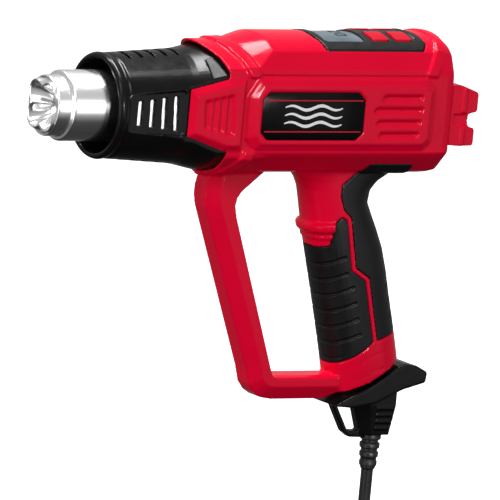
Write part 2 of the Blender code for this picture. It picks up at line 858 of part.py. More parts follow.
def control_panel():
    panel = crowned(PANEL_X, PANEL_HALF, 0.0, floor=PANEL_FLOOR)
    inside = (PANEL_X[0] + PANEL_WALL, PANEL_X[1] - PANEL_WALL)
    hollow = crowned(inside, PANEL_HALF - PANEL_WALL, 0.0, top=CROWN_TOP - PANEL_WALL, floor=0.030)
    panel = cut(panel, hollow)
    panel = cut(panel, box((LCD_X[0], -LCD_HALF, 0.03), (LCD_X[1], LCD_HALF, 0.05)))
    length, width = BUTTON_SIZE
    for x, y, _ in button_places():
        low, high = (x - length / 2, y - width / 2, 0.03), (x + length / 2, y + width / 2, 0.05)
        panel = cut(panel, box(low, high))
    hand_over(panel, "control_panel", "panel")
    window_x = (LCD_X[0] + GAP, LCD_X[1] - GAP)
    window = crowned(window_x, LCD_HALF - GAP, BOARD_T, top=CROWN_TOP - 0.0004)
    hand_over(window, "lcd_window", "display")
    module = box((0.1745, -0.0155, BOARD_Z + BOARD_T + GAP), (0.1925, 0.0155, 0.0355))
    hand_over(module, "lcd_module", "white")
    board = box((0.1705, -0.0185, BOARD_Z), (0.2285, 0.0185, BOARD_Z + BOARD_T))
    hand_over(board, "display_board", "board")


def buttons():
    """Four keys that press down on the switches of the display board."""
    length, width = BUTTON_SIZE[0] / 2 - GAP, BUTTON_SIZE[1] / 2 - GAP
    for x, y, name in button_places():
        key = crowned((x - length, x + length), width, 0.0022, top=CROWN_TOP + BUTTON_RISE, middle=y)
        key = join(key, box((x - 0.002, y - 0.002, 0.0350), (x + 0.002, y + 0.002, 0.0395)))
        hand_over(key, f"button_{name}", "button", (x, y, CROWN_TOP))
        base = BOARD_Z + BOARD_T + GAP
        switch = box((x - 0.003, y - 0.003, base), (x + 0.003, y + 0.003, base + 0.0018))
        hand_over(switch, f"key_switch_{name}", "white")


# ---------------------------------------------------------------- electrics


def power_switch():
    """The three-position rocker switch in the back of the handle."""
    corners = ((-0.0119, -0.0115), (0.0119, -0.0115), (0.0119, SWITCH_FACE), (-0.0119, SWITCH_FACE))
    body = plate([[along_handle(u, w) for u, w in corners]], -0.0075, 0.0075)
    half_turn = [math.pi * (i / 12 - 0.5) for i in range(13)]
    pocket = [along_handle(POCKET_R * math.sin(a), -POCKET_R * math.cos(a)) for a in half_turn]
    pocket += [along_handle(POCKET_R, 0.02), along_handle(-POCKET_R, 0.02)]
    body = cut(body, plate([pocket], -0.0055, 0.0055))
    hand_over(body, "power_switch", "black")
    outline = [(-0.0082, 0.0076), (0.0, 0.0058), (0.0082, 0.0076)]
    back = [math.radians(20 - 22 * i) for i in range(11)]
    outline += [(ROCKER_R * math.cos(a), ROCKER_R * math.sin(a)) for a in back]
    x, z = SWITCH_AT
    rocker = plate([[along_handle(u, w) for u, w in outline]], -0.0050, 0.0050)
    hand_over(rocker, "switch_rocker", "button", (x, 0.0, z))


def electrics():
    hand_over(box((0.186, -0.0160, -0.0225), (0.226, 0.0160, -0.0209)), "power_board", "board")
    sink = box((0.1920, -0.0110, -0.0312), (0.2080, 0.0110, -0.0228))
    for k in range(4):
        y = -0.0085 + k * 0.0048
        sink = cut(sink, box((0.19, y, -0.033), (0.21, y + 0.0026, -0.0250)))
    hand_over(sink, "heat_sink", "aluminium")
    block = box((0.2010, -0.0085, -0.1130), (0.2170, 0.0085, -0.1010))
    for y in (-0.0045, 0.0045):
        block = cut(block, rod((0.209, y, -0.120), 0.0019, 0.03, "Z", 8))
    hand_over(block, "terminal_block", "white")
    hand_over(rod((0.2062, 0.0065, -0.1245), 0.0052, 0.013, "Y", 12), "noise_capacitor", "button")


# ---------------------------------------------------------------- foot, boot and cord


def cord_clamp():
    """The bar that holds the cord's sheath against the handle's inner wall, and its two screws."""
    bar = box((0.2225, -0.0108, -0.1285), (0.2260, 0.0108, -0.1205))
    bar = cut(bar, *[rod((0.21, y, -0.1245), SCREW_SHANK_R + GAP, 0.02, "X", 8) for y in (-0.0078, 0.0078)])
    hand_over(bar, "cord_clamp", "black")
    for y, number in ((-0.0078, 1), (0.0078, 2)):
        profile = (
            (0.0, 0.0055),
            (SCREW_SHANK_R, 0.0055),
            (SCREW_SHANK_R, 0.0),
            (0.0027, 0.0),
            (0.0027, -0.0018),
            (0.0, -0.0018),
        )
        screw = turned(profile, (0.2225 - GAP, y, -0.1245), "X", 8, False)
        hand_over(screw, f"clamp_screw_{number}", "steel")


def end_cap():
    """The moulded foot under the handle, with the cord's socket and the hanging eye."""
    flange = (
        (0.2074, -0.1673),
        (0.2412, -0.1444),
        (0.2510, -0.1452),
        (0.2660, -0.1510),
        (0.2650, -0.1590),
        (0.2480, -0.1630),
        (0.2260, -0.1700),
        (0.2120, -0.1710),
    )
    cap = plate([flange], -0.0150, 0.0150, bevel=0.0015)
    cap = join(cap, box((CORD_X - 0.0094, -0.0092, -0.1872), (CORD_X + 0.0092, 0.0092, -0.1600)))
    eye = (
        (0.2042, -0.1690),
        (0.2126, -0.1855),
        (0.2195, -0.1880),
        (0.2270, -0.1880),
        (0.2270, -0.1660),
        (0.2120, -0.1660),
    )
    hole = ((0.2094, -0.1706), (0.2180, -0.1697), (0.2225, -0.1835), (0.2172, -0.1840))
    cap = join(cap, plate([eye, hole], -0.0040, 0.0040))
    passage = rod((CORD_X, 0, -0.20), CORD_R + 0.0005, 0.08, "Z", 12)
    boot_seat = rod((CORD_X, 0, -0.20), 0.0058, 0.022, "Z", 14)
    well = rod((CORD_X - 0.001, 0, -0.160), 0.0062, 0.04, "Z", 14)
    cap = cut(cap, passage, boot_seat, well)
    hand_over(cap, "end_cap", "black")


def cord_boot():
    rings = 4
    pitch = (BOOT_TOP - BOOT_END) / rings
    profile = [(0.0055, 0.009)]
    for k in range(rings):
        top = -k * pitch
        outer = 0.0062 - 0.00036 * k
        profile += [(0.0055 if k == 0 else 0.0048, top), (outer, top), (outer, top - 0.0033)]
        profile += [(0.0048, top - 0.0033)] if k < rings - 1 else [(CORD_R + 0.0004, top - pitch)]
    profile.append((CORD_R + 0.0004, 0.009))
    hand_over(turned(profile, (CORD_X, 0, BOOT_TOP), "Z", 14), "cord_boot", "rubber")


def inner_cord():
    hand_over(tube(smooth_line(INNER_ROUTE, 3), CORD_R, "inner_cord"), "inner_cord", "rubber")


def free_cord():
    """The supply cord below the boot: a drop, a tied coil and a tail that ends in the plug."""
    hand_over(tube(smooth_line(DROP_ROUTE, 2), CORD_R, "drop"), "power_cord", "rubber")
    corner = 0.004
    inner, outer = COIL_R
    profile = (
        (inner, COIL_HALF - corner),
        (inner + corner, COIL_HALF),
        (outer - corner, COIL_HALF),
        (outer, COIL_HALF - corner),
        (outer, corner - COIL_HALF),
        (outer - corner, -COIL_HALF),
        (inner + corner, -COIL_HALF),
        (inner, corner - COIL_HALF),
    )
    hand_over(turned(profile, COIL_CENTRE, "Y", 24), "cord_coil", "rubber")
    hand_over(tube(smooth_line(TAIL_ROUTE, 2), CORD_R, "tail"), "cord_tail", "rubber")
    middle = COIL_CENTRE[2] - (inner + outer) / 2
    reach, width = (outer - inner) / 2 + 0.0012, COIL_HALF + 0.0012
    band = box((CORD_X - TIE_HALF, -width, middle - reach), (CORD_X + TIE_HALF, width, middle + reach))
    hole = COIL_HALF + GAP
    band = cut(band, box((CORD_X - 0.02, -hole, middle - 0.0075), (CORD_X + 0.02, hole, middle + 0.0078)))
    hand_over(band, "coil_tie", "black")


def plug():
    """A flat two-pin mains plug, hanging by its cord."""
    x, y = TAIL_ROUTE[-1][:2]
    sections = ((0.0, 0.0055, 0.0055), (0.014, 0.0070, 0.0065), (0.020, 0.0130, 0.0100), (0.042, 0.0175, 0.0125))
    rings = []
    for depth, half_x, half_y in sections:
        z = PLUG_TOP - GAP - depth
        rings.append([(x + half_x * math.cos(a), y + half_y * math.sin(a), z) for a in turns_of(16)])
    base = PLUG_TOP - GAP - sections[-1][0]
    body = loft(rings, "plug")
    for side in (-1, 1):
        body = cut(body, rod((x + side * PIN_X, y, base - 0.001), PIN_R + GAP, 0.009, "Z", 10))
    hand_over(body, "plug_body", "black")
    for side, hand in ((-1, "left"), (1, "right")):
        pin = rod((x + side * PIN_X, y, base - 0.019), PIN_R, 0.0265, "Z", 10)
        hand_over(pin, f"plug_pin_{hand}", "steel")


def main():
    clear_scene()
    frame = bpy.data.objects.new("barrel_frame", None)
    frame.location = MOUTH
    bpy.context.scene.collection.objects.link(frame)
    housing()
    grips()
    labels()
    screws()
    heat_sleeve()
    outlet_tube()
    flow_mixer()
    heater()
    air_duct()
    impeller()
    motor()
    dust_filter()
    rear_stand()
    control_panel()
    buttons()
    power_switch()
    electrics()
    cord_clamp()
    end_cap()
    cord_boot()
    inner_cord()
    free_cord()
    plug()


main()
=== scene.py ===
"""The looks of a corded heat gun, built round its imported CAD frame.

Pieces are drawn in millimetres in the barrel's own frame: x back from the outlet's mouth, -y the gun's left
side and z the height over the barrel's axis. place() puts them in the row frame, in metres.
"""
import json
import math

import bmesh
import bpy
from mathutils import Matrix, Vector


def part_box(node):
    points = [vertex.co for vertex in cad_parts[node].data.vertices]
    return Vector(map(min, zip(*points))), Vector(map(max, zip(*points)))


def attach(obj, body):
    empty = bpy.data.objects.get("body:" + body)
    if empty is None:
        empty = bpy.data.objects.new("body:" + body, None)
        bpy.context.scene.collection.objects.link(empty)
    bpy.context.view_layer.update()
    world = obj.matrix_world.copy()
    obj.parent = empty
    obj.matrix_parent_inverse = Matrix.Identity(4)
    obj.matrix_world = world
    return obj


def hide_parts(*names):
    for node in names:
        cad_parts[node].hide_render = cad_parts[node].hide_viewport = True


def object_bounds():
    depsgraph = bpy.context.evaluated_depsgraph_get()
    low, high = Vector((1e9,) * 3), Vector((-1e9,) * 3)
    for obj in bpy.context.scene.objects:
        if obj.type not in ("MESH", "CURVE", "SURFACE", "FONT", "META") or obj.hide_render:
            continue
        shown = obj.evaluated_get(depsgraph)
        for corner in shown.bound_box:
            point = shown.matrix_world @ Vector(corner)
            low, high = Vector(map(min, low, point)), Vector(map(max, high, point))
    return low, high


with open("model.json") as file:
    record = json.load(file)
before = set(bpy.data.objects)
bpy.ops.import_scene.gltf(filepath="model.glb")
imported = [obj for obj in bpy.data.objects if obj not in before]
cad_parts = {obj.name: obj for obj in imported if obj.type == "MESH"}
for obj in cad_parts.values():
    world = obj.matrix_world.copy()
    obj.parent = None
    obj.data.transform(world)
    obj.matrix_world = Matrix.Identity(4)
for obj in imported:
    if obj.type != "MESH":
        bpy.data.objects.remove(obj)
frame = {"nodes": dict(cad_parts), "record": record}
cad_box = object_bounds()
NODES = frame["nodes"]

tube_low, tube_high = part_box("outlet_tube")
MOUTH = Vector((tube_low[0], 0.0, (tube_low[2] + tube_high[2]) / 2))
TO_ROW = Matrix.Translation(MOUTH) @ Matrix.Scale(0.001, 4)
ROOT = "housing"
HANDS = ((-1, "left"), (1, "right"))
SLOT_OF = {part["node"]: part["material_slot"] for part in frame["record"]["subparts"]}

FINE = 0.7
SMALL = 0.45
SLEEVE_GRID = 0.5
STAND_GRID = 0.45
TIE_GRID = 0.35
KEY_GRID = 0.3


# ---- shape helpers


def hold(data, name):
    """Puts a mesh, curve, lamp or camera in the scene."""
    obj = bpy.data.objects.new(name, data)
    bpy.context.scene.collection.objects.link(obj)
    return obj


def drop(obj):
    bpy.data.objects.remove(obj, do_unlink=True)


def settle(obj, tidy=True):
    """Replaces an object by the mesh that its curve or modifiers make."""
    graph = bpy.context.evaluated_depsgraph_get()
    mesh = bpy.data.meshes.new_from_object(obj.evaluated_get(graph))
    mesh.transform(obj.matrix_world)
    if tidy:
        work = bmesh.new()
        work.from_mesh(mesh)
        bmesh.ops.remove_doubles(work, verts=work.verts, dist=1e-3)
        bmesh.ops.recalc_face_normals(work, faces=work.faces)
        work.to_mesh(mesh)
        work.free()
    name = obj.name
    drop(obj)
    return hold(mesh, name)


def from_bmesh(work, name):
    mesh = bpy.data.meshes.new(name)
    bmesh.ops.recalc_face_normals(work, faces=work.faces)
    work.to_mesh(mesh)
    work.free()
    return hold(mesh, name)


def box(low, high):
    work = bmesh.new()
    bmesh.ops.create_cube(work, size=1.0)
    size = Vector(high) - Vector(low)
    middle = (Vector(high) + Vector(low)) / 2
    fit = Matrix.Translation(middle) @ Matrix.Diagonal((*size, 1))
    bmesh.ops.transform(work, matrix=fit, verts=work.verts)
    return from_bmesh(work, "box")


AXES = {
    "X": Matrix(((0, 0, 1, 0), (1, 0, 0, 0), (0, 1, 0, 0), (0, 0, 0, 1))),
    "Y": Matrix(((1, 0, 0, 0), (0, 0, -1, 0), (0, 1, 0, 0), (0, 0, 0, 1))),
    "Z": Matrix.Identity(4),
}


def rod(start, radius, length, axis="X", sides=48):
    work = bmesh.new()
    bmesh.ops.create_cone(work, cap_ends=True, segments=sides, radius1=radius, radius2=radius, depth=length)
    spot = Matrix.Translation(Vector(start)) @ AXES[axis] @ Matrix.Translation((0, 0, length / 2))
    bmesh.ops.transform(work, matrix=spot, verts=work.verts)
    return from_bmesh(work, "rod")


def turned(profile, start=(0, 0, 0), axis="X", sides=96, closed=True):
    """Turns (radius, distance) points about an axis."""
    mesh = bpy.data.meshes.new("turned")
    edges = [(i, i + 1) for i in range(len(profile) - 1)]
    if closed:
        edges.append((len(profile) - 1, 0))
    mesh.from_pydata([(r, 0.0, h) for r, h in profile], edges, [])
    obj = hold(mesh, "turned")
    screw = obj.modifiers.new("turn", "SCREW")
    screw.steps = screw.render_steps = sides
    screw.use_merge_vertices = True
    screw.merge_threshold = 1e-3
    obj.matrix_world = Matrix.Translation(Vector(start)) @ AXES[axis]
    bpy.context.view_layer.update()
    return settle(obj)


def plate(outlines, low, high, normal="Y", bevel=0.0):
    """A flat plate between two levels; points are (x, z) facing Y, (y, z) facing X and (x, y) facing Z."""
    curve = bpy.data.curves.new("plate", "CURVE")
    curve.dimensions = "2D"
    curve.fill_mode = "BOTH"
    curve.extrude = (high - low) / 2
    for outline in outlines:
        spline = curve.splines.new("POLY")
        spline.points.add(len(outline) - 1)
        for point, (u, v) in zip(spline.points, outline, strict=True):
            point.co = (u, v, 0.0, 1.0)
        spline.use_cyclic_u = True
    obj = hold(curve, "plate")
    shift = {"X": (1, 0, 0), "Y": (0, 1, 0), "Z": (0, 0, 1)}[normal]
    obj.matrix_world = Matrix.Translation(Vector(shift) * (low + high) / 2) @ AXES[normal]
    bpy.context.view_layer.update()
    obj = settle(obj)
    if bevel:
        edge = obj.modifiers.new("edges", "BEVEL")
        edge.width = bevel
        edge.segments = 2
        edge.limit_method = "ANGLE"
        edge.angle_limit = math.radians(60)
        obj = settle(obj)
    return obj


def loft(rings, open_start=False):
    """A skin through rings of as many points each, capped at its ends."""
    work = bmesh.new()
    loops = [[work.verts.new(p) for p in ring] for ring in rings]
    for a, b in zip(loops, loops[1:]):
        for i in range(len(a)):
            j = (i + 1) % len(a)
            work.faces.new((a[i], a[j], b[j], b[i]))
    if not open_start:
        work.faces.new(loops[0])
    work.faces.new(loops[-1])
    return from_bmesh(work, "loft")


def frustum(base, base_y, top, top_y):
    """A raised pad between two (x, z) outlines at two distances out from the middle plane."""
    return loft([[(x, base_y, z) for x, z in base], [(x, top_y, z) for x, z in top]])


def side_plate(outline, side, near, far, bevel=0.0):
    """An (x, z) plate between two distances out from the middle plane, on the left (-1) or the right (1)."""
    low, high = sorted((side * near, side * far))
    return plate([outline], low, high, bevel=bevel)


def side_box(side, low, high):
    """A box on one side; the y of its corners is their distance from the middle plane."""
    near, far = sorted((side * low[1], side * high[1]))
    return box((low[0], near, low[2]), (high[0], far, high[2]))


def combine(obj, others, how):
    for other in others:
        change = obj.modifiers.new(how, "BOOLEAN")
        change.operation = how
        change.object = other
        change.solver = "EXACT"
        obj = settle(obj)
        drop(other)
    return obj


def cut(obj, *others):
    return combine(obj, others, "DIFFERENCE")


def join(obj, *others):
    return combine(obj, others, "UNION")


def common(obj, *others):
    return combine(obj, others, "INTERSECT")


def copy(obj):
    return hold(obj.data.copy(), obj.name)


def mirrored(obj):
    """Turns an object into its mirror image on the gun's other side."""
    obj.data.transform(Matrix.Scale(-1, 4, (0, 1, 0)))
    obj.data.flip_normals()
    return obj


def tube(points, radius, name):
    curve = bpy.data.curves.new(name, "CURVE")
    curve.dimensions = "3D"
    curve.bevel_depth = radius
    curve.bevel_resolution = 6
    curve.use_fill_caps = True
    spline = curve.splines.new("POLY")
    spline.points.add(len(points) - 1)
    for point, spot in zip(spline.points, points, strict=True):
        point.co = (*spot, 1.0)
    return hold(curve, name)


def moulded(obj, voxel=None, rounds=2):
    """Gives a solid the small radii of a moulding: a voxel skin, eased a little."""
    skin = obj.modifiers.new("skin", "REMESH")
    skin.mode = "VOXEL"
    skin.voxel_size = voxel or FINE
    skin.use_smooth_shade = True
    eased = obj.modifiers.new("eased", "SMOOTH")
    eased.factor = 0.5
    eased.iterations = rounds
    return settle(obj, tidy=False)


def place(obj, name, mat, node=None, body=ROOT, slot=None, smooth=35.0):
    """Puts a finished piece in the row frame on its body, in place of the CAD nodes it stands for."""
    obj.name = obj.data.name = name
    obj.data.transform(TO_ROW)
    obj.data.materials.clear()
    obj.data.materials.append(mat)
    if obj.type == "MESH":
        obj.data.shade_smooth()
        if smooth:
            obj.data.set_sharp_from_angle(angle=math.radians(smooth))
    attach(obj, body)
    nodes = [node] if isinstance(node, str) else list(node or [])
    if nodes:
        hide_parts(*nodes)
        slot = slot or SLOT_OF[nodes[0]]
    return obj


def inset_outline(outline, distance):
    """Moves each side of a closed outline in by a distance."""
    count = len(outline)
    area = 0.0
    for i in range(count):
        (x0, z0), (x1, z1) = outline[i], outline[(i + 1) % count]
        area += x0 * z1 - x1 * z0
    turn = 1 if area > 0 else -1
    moved = []
    for i, point in enumerate(outline):
        before = Vector(point) - Vector(outline[i - 1])
        after = Vector(outline[(i + 1) % count]) - Vector(point)
        normals = [Vector((-d.y, d.x)).normalized() * turn for d in (before, after)]
        bisector = (normals[0] + normals[1]).normalized()
        moved.append(tuple(Vector(point) + bisector * distance / max(bisector.dot(normals[0]), 0.4)))
    return moved


def turns_of(count, start=0.0):
    return [start + 2 * math.pi * i / count for i in range(count)]


def squared(half_u, half_v, power, start=0.0):
    """An ellipse about the origin that fills its box more as the power rises."""
    points = []
    for angle in turns_of(48, start):
        c, s = math.cos(angle), math.sin(angle)
        k = (abs(c) ** power + abs(s) ** power) ** (-1 / power)
        points.append((half_u * k * c, half_v * k * s))
    return points


def smooth_line(points, steps):
    """Points read from a Catmull-Rom curve through a given route."""
    route = [Vector(p) for p in points]
    route = [2 * route[0] - route[1], *route, 2 * route[-1] - route[-2]]
    line = []
    for a, b, c, d in zip(route, route[1:], route[2:], route[3:]):
        for k in range(steps):
            t = k / steps
            near, far = (2 * a - 5 * b + 4 * c - d), (3 * b - a - 3 * c + d)
            line.append(0.5 * (2 * b + (c - a) * t + near * t**2 + far * t**3))
    return [*line, route[-2]]


# ---- materials


def nodes_of(name, colour, roughness, metallic=0.0):
    mat = bpy.data.materials.new(name)
    mat.use_nodes = True
    tree = mat.node_tree
    shader = tree.nodes["Principled BSDF"]
    shader.inputs["Base Color"].default_value = (*colour, 1.0)
    shader.inputs["Roughness"].default_value = roughness
    shader.inputs["Metallic"].default_value = metallic
    return mat, tree, shader


def add(tree, kind, **values):
    node = tree.nodes.new(kind)
    for key, value in values.items():
        if key in node.inputs:
            node.inputs[key].default_value = value
        else:
            setattr(node, key, value)
    return node


def ramp(tree, source, low, high, low_at=0.3, high_at=0.7):
    """A colour or number ramp of a factor between two ends."""
    node = tree.nodes.new("ShaderNodeValToRGB")
    node.color_ramp.elements[0].position = low_at
    node.color_ramp.elements[0].color = (*low, 1.0)
    node.color_ramp.elements[1].position = high_at
    node.color_ramp.elements[1].color = (*high, 1.0)
    tree.links.new(source, node.inputs["Fac"])
    return node.outputs["Color"]


def noise(tree, scale, detail=3.0, stretch=None):
    where = tree.nodes.new("ShaderNodeTexCoord").outputs["Object"]
    if stretch:
        mapping = tree.nodes.new("ShaderNodeMapping")
        mapping.inputs["Scale"].default_value = stretch
        tree.links.new(where, mapping.inputs["Vector"])
        where = mapping.outputs["Vector"]
    node = add(tree, "ShaderNodeTexNoise", Scale=scale, Detail=detail)
    tree.links.new(where, node.inputs["Vector"])
    return node.outputs["Fac"]


def bump(tree, shader, height, strength, distance):
    node = add(tree, "ShaderNodeBump", Strength=strength, Distance=distance)
    tree.links.new(height, node.inputs["Height"])
    tree.links.new(node.outputs["Normal"], shader.inputs["Normal"])


def grained(name, colour, roughness, grain, depth, strength, vary, gloss):
    """Moulded plastic or rubber: a fine grain, patches of slightly different colour and gloss."""
    mat, tree, shader = nodes_of(name, colour, roughness)
    darker = tuple(c * (1 - vary) for c in colour)
    lighter = tuple(min(1.0, c * (1 + vary)) for c in colour)
    tree.links.new(ramp(tree, noise(tree, 45.0), darker, lighter), shader.inputs["Base Color"])
    rough = ramp(tree, noise(tree, 160.0, 5.0), (roughness * 0.85,) * 3, (min(1.0, roughness * 1.18),) * 3)
    tree.links.new(rough, shader.inputs["Roughness"])
    bump(tree, shader, noise(tree, grain, 2.0), strength, depth)
    shader.inputs["Specular IOR Level"].default_value = gloss
    return mat


def brushed(name, colour, roughness, stretch, vary):
    """Metal with fine lines along one direction."""
    mat, tree, shader = nodes_of(name, colour, roughness, 1.0)
    lines = noise(tree, 900.0, 4.0, stretch)
    tree.links.new(ramp(tree, lines, [c * (1 - vary) for c in colour], colour), shader.inputs["Base Color"])
    rough = ramp(tree, lines, (roughness * 0.75,) * 3, (roughness * 1.3,) * 3)
    tree.links.new(rough, shader.inputs["Roughness"])
    bump(tree, shader, lines, 0.05, 0.00002)
    return mat


def display_material():
    """The display's blue-grey pane, with soft lighter patches."""
    mat, tree, shader = nodes_of("display_glass", (0.20, 0.28, 0.36), 0.12)
    tone = ramp(tree, noise(tree, 60.0), (0.07, 0.105, 0.135), (0.16, 0.215, 0.26))
    tree.links.new(tone, shader.inputs["Base Color"])
    bump(tree, shader, noise(tree, 500.0), 0.05, 0.00001)
    return mat


def board_material():
    """Green solder mask with fine lighter tracks under it."""
    mat, tree, shader = nodes_of("circuit_board", (0.02, 0.16, 0.07), 0.4)
    wave = add(tree, "ShaderNodeTexWave", Scale=160.0, Distortion=6.0)
    tree.links.new(tree.nodes.new("ShaderNodeTexCoord").outputs["Object"], wave.inputs["Vector"])
    tone = ramp(tree, wave.outputs["Fac"], (0.012, 0.13, 0.055), (0.05, 0.24, 0.10), 0.45, 0.55)
    tree.links.new(tone, shader.inputs["Base Color"])
    bump(tree, shader, wave.outputs["Fac"], 0.3, 0.00005)
    return mat


# colour, roughness, grains a metre, depth of the grain in metres and its strength, variation, gloss
GRAINED = {
    "red_plastic": ((0.80, 0.0012, 0.032), 0.2, 3200.0, 2e-5, 0.12, 0.03, 0.07),
    "black_plastic": ((0.0055, 0.0050, 0.0053), 0.22, 2600.0, 3e-5, 0.2, 0.12, 0.12),
    "panel_plastic": ((0.007, 0.007, 0.0074), 0.35, 2600.0, 3e-5, 0.3, 0.1, 0.14),
    "button_plastic": ((0.62, 0.0012, 0.022), 0.3, 2600.0, 2e-5, 0.2, 0.05, 0.06),
    "white_plastic": ((0.80, 0.80, 0.78), 0.45, 1800.0, 4e-5, 0.3, 0.04, 0.3),
    "plug_plastic": ((0.0085, 0.0085, 0.009), 0.4, 2000.0, 6e-5, 0.4, 0.12, 0.3),
    "grip_rubber": ((0.0065, 0.0062, 0.0066), 0.42, 1900.0, 6e-5, 0.45, 0.14, 0.15),
    "cord_rubber": ((0.0075, 0.0072, 0.0078), 0.42, 1400.0, 8e-5, 0.5, 0.15, 0.3),
    "black_label": ((0.0012, 0.0012, 0.0012), 0.2, 1500.0, 1e-5, 0.1, 0.1, 0.08),
    "label_red": ((0.55, 0.006, 0.02), 0.35, 1500.0, 1e-5, 0.1, 0.05, 0.1),
    "label_white": ((0.92, 0.92, 0.92), 0.4, 1500.0, 1e-5, 0.1, 0.02, 0.3),
    "digit": ((0.006, 0.008, 0.010), 0.5, 1500.0, 1e-5, 0.1, 0.05, 0.05),
    "mica": ((0.55, 0.48, 0.33), 0.45, 700.0, 6e-5, 0.5, 0.2, 0.3),
    "ceramic": ((0.80, 0.77, 0.70), 0.65, 1200.0, 8e-5, 0.5, 0.06, 0.3),
}
# colour, roughness, how much closer the lines lie along each axis, variation
BRUSHED = {
    "outlet_steel": ((0.95, 0.94, 0.95), 0.2, (1.0, 30.0, 30.0), 0.06),
    "heater_wire": ((0.55, 0.42, 0.34), 0.4, (10.0, 1.0, 1.0), 0.25),
    "motor_can": ((0.75, 0.76, 0.78), 0.35, (30.0, 1.0, 1.0), 0.06),
    "screw_steel": ((0.45, 0.45, 0.47), 0.32, (1.0, 8.0, 8.0), 0.06),
    "pin_brass": ((0.78, 0.77, 0.74), 0.25, (8.0, 8.0, 1.0), 0.06),
}


def make_materials():
    """Every finish of the gun, by the name of its material slot."""
    mats = {name: grained(name, *finish) for name, finish in GRAINED.items()}
    mats.update({name: brushed(name, *finish) for name, finish in BRUSHED.items()})
    mats["display_glass"] = display_material()
    mats["circuit_board"] = board_material()
    return mats


# ---- outlines of the mouldings

SIDE = 28.9  # half width of the body beside its raised pads
PAD = 31.3  # out to the face of the side pads
COLLAR_R = 37.8
BODY_END = 250.0
WALL = 2.0
CROWN_R = 50.0
CROWN_TOP = 42.9
SEAM = 0.05  # half the hairline between the two halves


def crown(y, top=CROWN_TOP):
    """Height of the body's top over y: an arc that drops faster near its edges."""
    return top - (CROWN_R - math.sqrt(CROWN_R**2 - y * y)) - 0.0122 * max(0.0, abs(y) - 16.0) ** 2.4


def body_half():
    """Half of the body's section, from the middle of its top down to the middle of its bottom."""
    top = [(y, crown(y)) for y in (0.0, 4.0, 8.0, 12.0, 16.0, 19.5, 22.0, 24.2)]
    side = [(28.4, 25.4), (SIDE, 22.4), (SIDE, 12.0), (SIDE, 0.0)]
    belly = [(29.3, -21.6), (27.6, -24.0), (18.0, -33.6), (13.0, -35.2), (0.0, -36.0)]
    return [*top, *side, (SIDE, -10.0), (SIDE, -18.5), *belly]


def collar_half():
    """The collar's section at the same places: a circle with flat sides."""
    half = []
    for y, z in body_half():
        angle = math.atan2(z, y)
        side = abs(math.cos(angle))
        reach = min(COLLAR_R, SIDE / side) if side > 1e-6 else COLLAR_R
        half.append((reach * math.cos(angle) if y else 0.0, reach * math.sin(angle)))
    return half


def section(half, x, scale=1.0, inset=0.0, rake=0.0, rake_end=99.0):
    """A closed section ring. rake moves it back where it is lower than the crown, up to rake_end."""
    ring = [*half, *[(-y, z) for y, z in reversed(half[1:-1])]]
    points = []
    for y, z in ring:
        reach = math.hypot(y, z)
        k = (reach * scale - inset) / reach
        back = min(rake * max(0.0, COLLAR_R - abs(z)), rake_end)
        points.append((x + back, y * k, z * k))
    return points


def body_solid(inset=0.0, front=84.0):
    """The barrel of the housing: collar, shoulder, body and rounded rear; inset for its inside."""
    collar, body = collar_half(), body_half()
    return loft(
        [
            section(collar, front, 1.0, inset),
            section(collar, 108.5, 1.0, inset, 0.70, 12.0),
            section(collar, 112.0, 1.008, inset, 0.66, 11.0),
            section(body, 130.0, 1.0, inset, 0.15, 2.0),
            section(body, 180.0, 1.0, inset),
            section(body, 239.0, 1.0, inset),
            section(body, 245.0, 0.993, inset),
            section(body, 248.0 - inset / 2, 0.978, inset),
            section(body, 249.5 - inset / 2, 0.955, inset),
            section(body, BODY_END - inset, 0.925, inset),
        ]
    )


HANDLE = (  # height, x of the front and the back, half width
    (-28.0, 152.0, 236.0, 16.5),
    (-33.0, 159.5, 232.5, 16.5),
    (-37.0, 165.6, 226.5, 16.5),
    (-41.0, 169.4, 219.5, 16.6),
    (-46.0, 172.2, 214.8, 16.8),
    (-53.0, 174.2, 213.6, 17.0),
    (-60.0, 175.8, 216.9, 17.4),
    (-68.0, 177.8, 221.0, 17.9),
    (-79.0, 180.7, 226.0, 18.3),
    (-92.0, 184.4, 230.0, 18.5),
    (-105.0, 188.2, 233.2, 18.5),
    (-122.0, 192.8, 237.9, 18.4),
    (-139.0, 197.3, 242.2, 18.2),
    (-152.0, 200.4, 245.2, 17.9),
    (-165.5, 203.0, 247.6, 17.5),
)


def handle_solid(inset=0.0):
    """The handle through its level sections; an inset one is a little longer."""
    rings = []
    longer = {HANDLE[0][0]: 4.0, HANDLE[-1][0]: -4.0} if inset else {}
    for z, front, back, half in HANDLE:
        middle, reach = (front + back) / 2, (back - front) / 2 - inset
        level = z + longer.get(z, 0.0)
        outline = squared(reach, half - inset, 2.4, math.pi / 48)
        rings.append([(middle + x, y, level) for x, y in outline])
    return loft(rings)


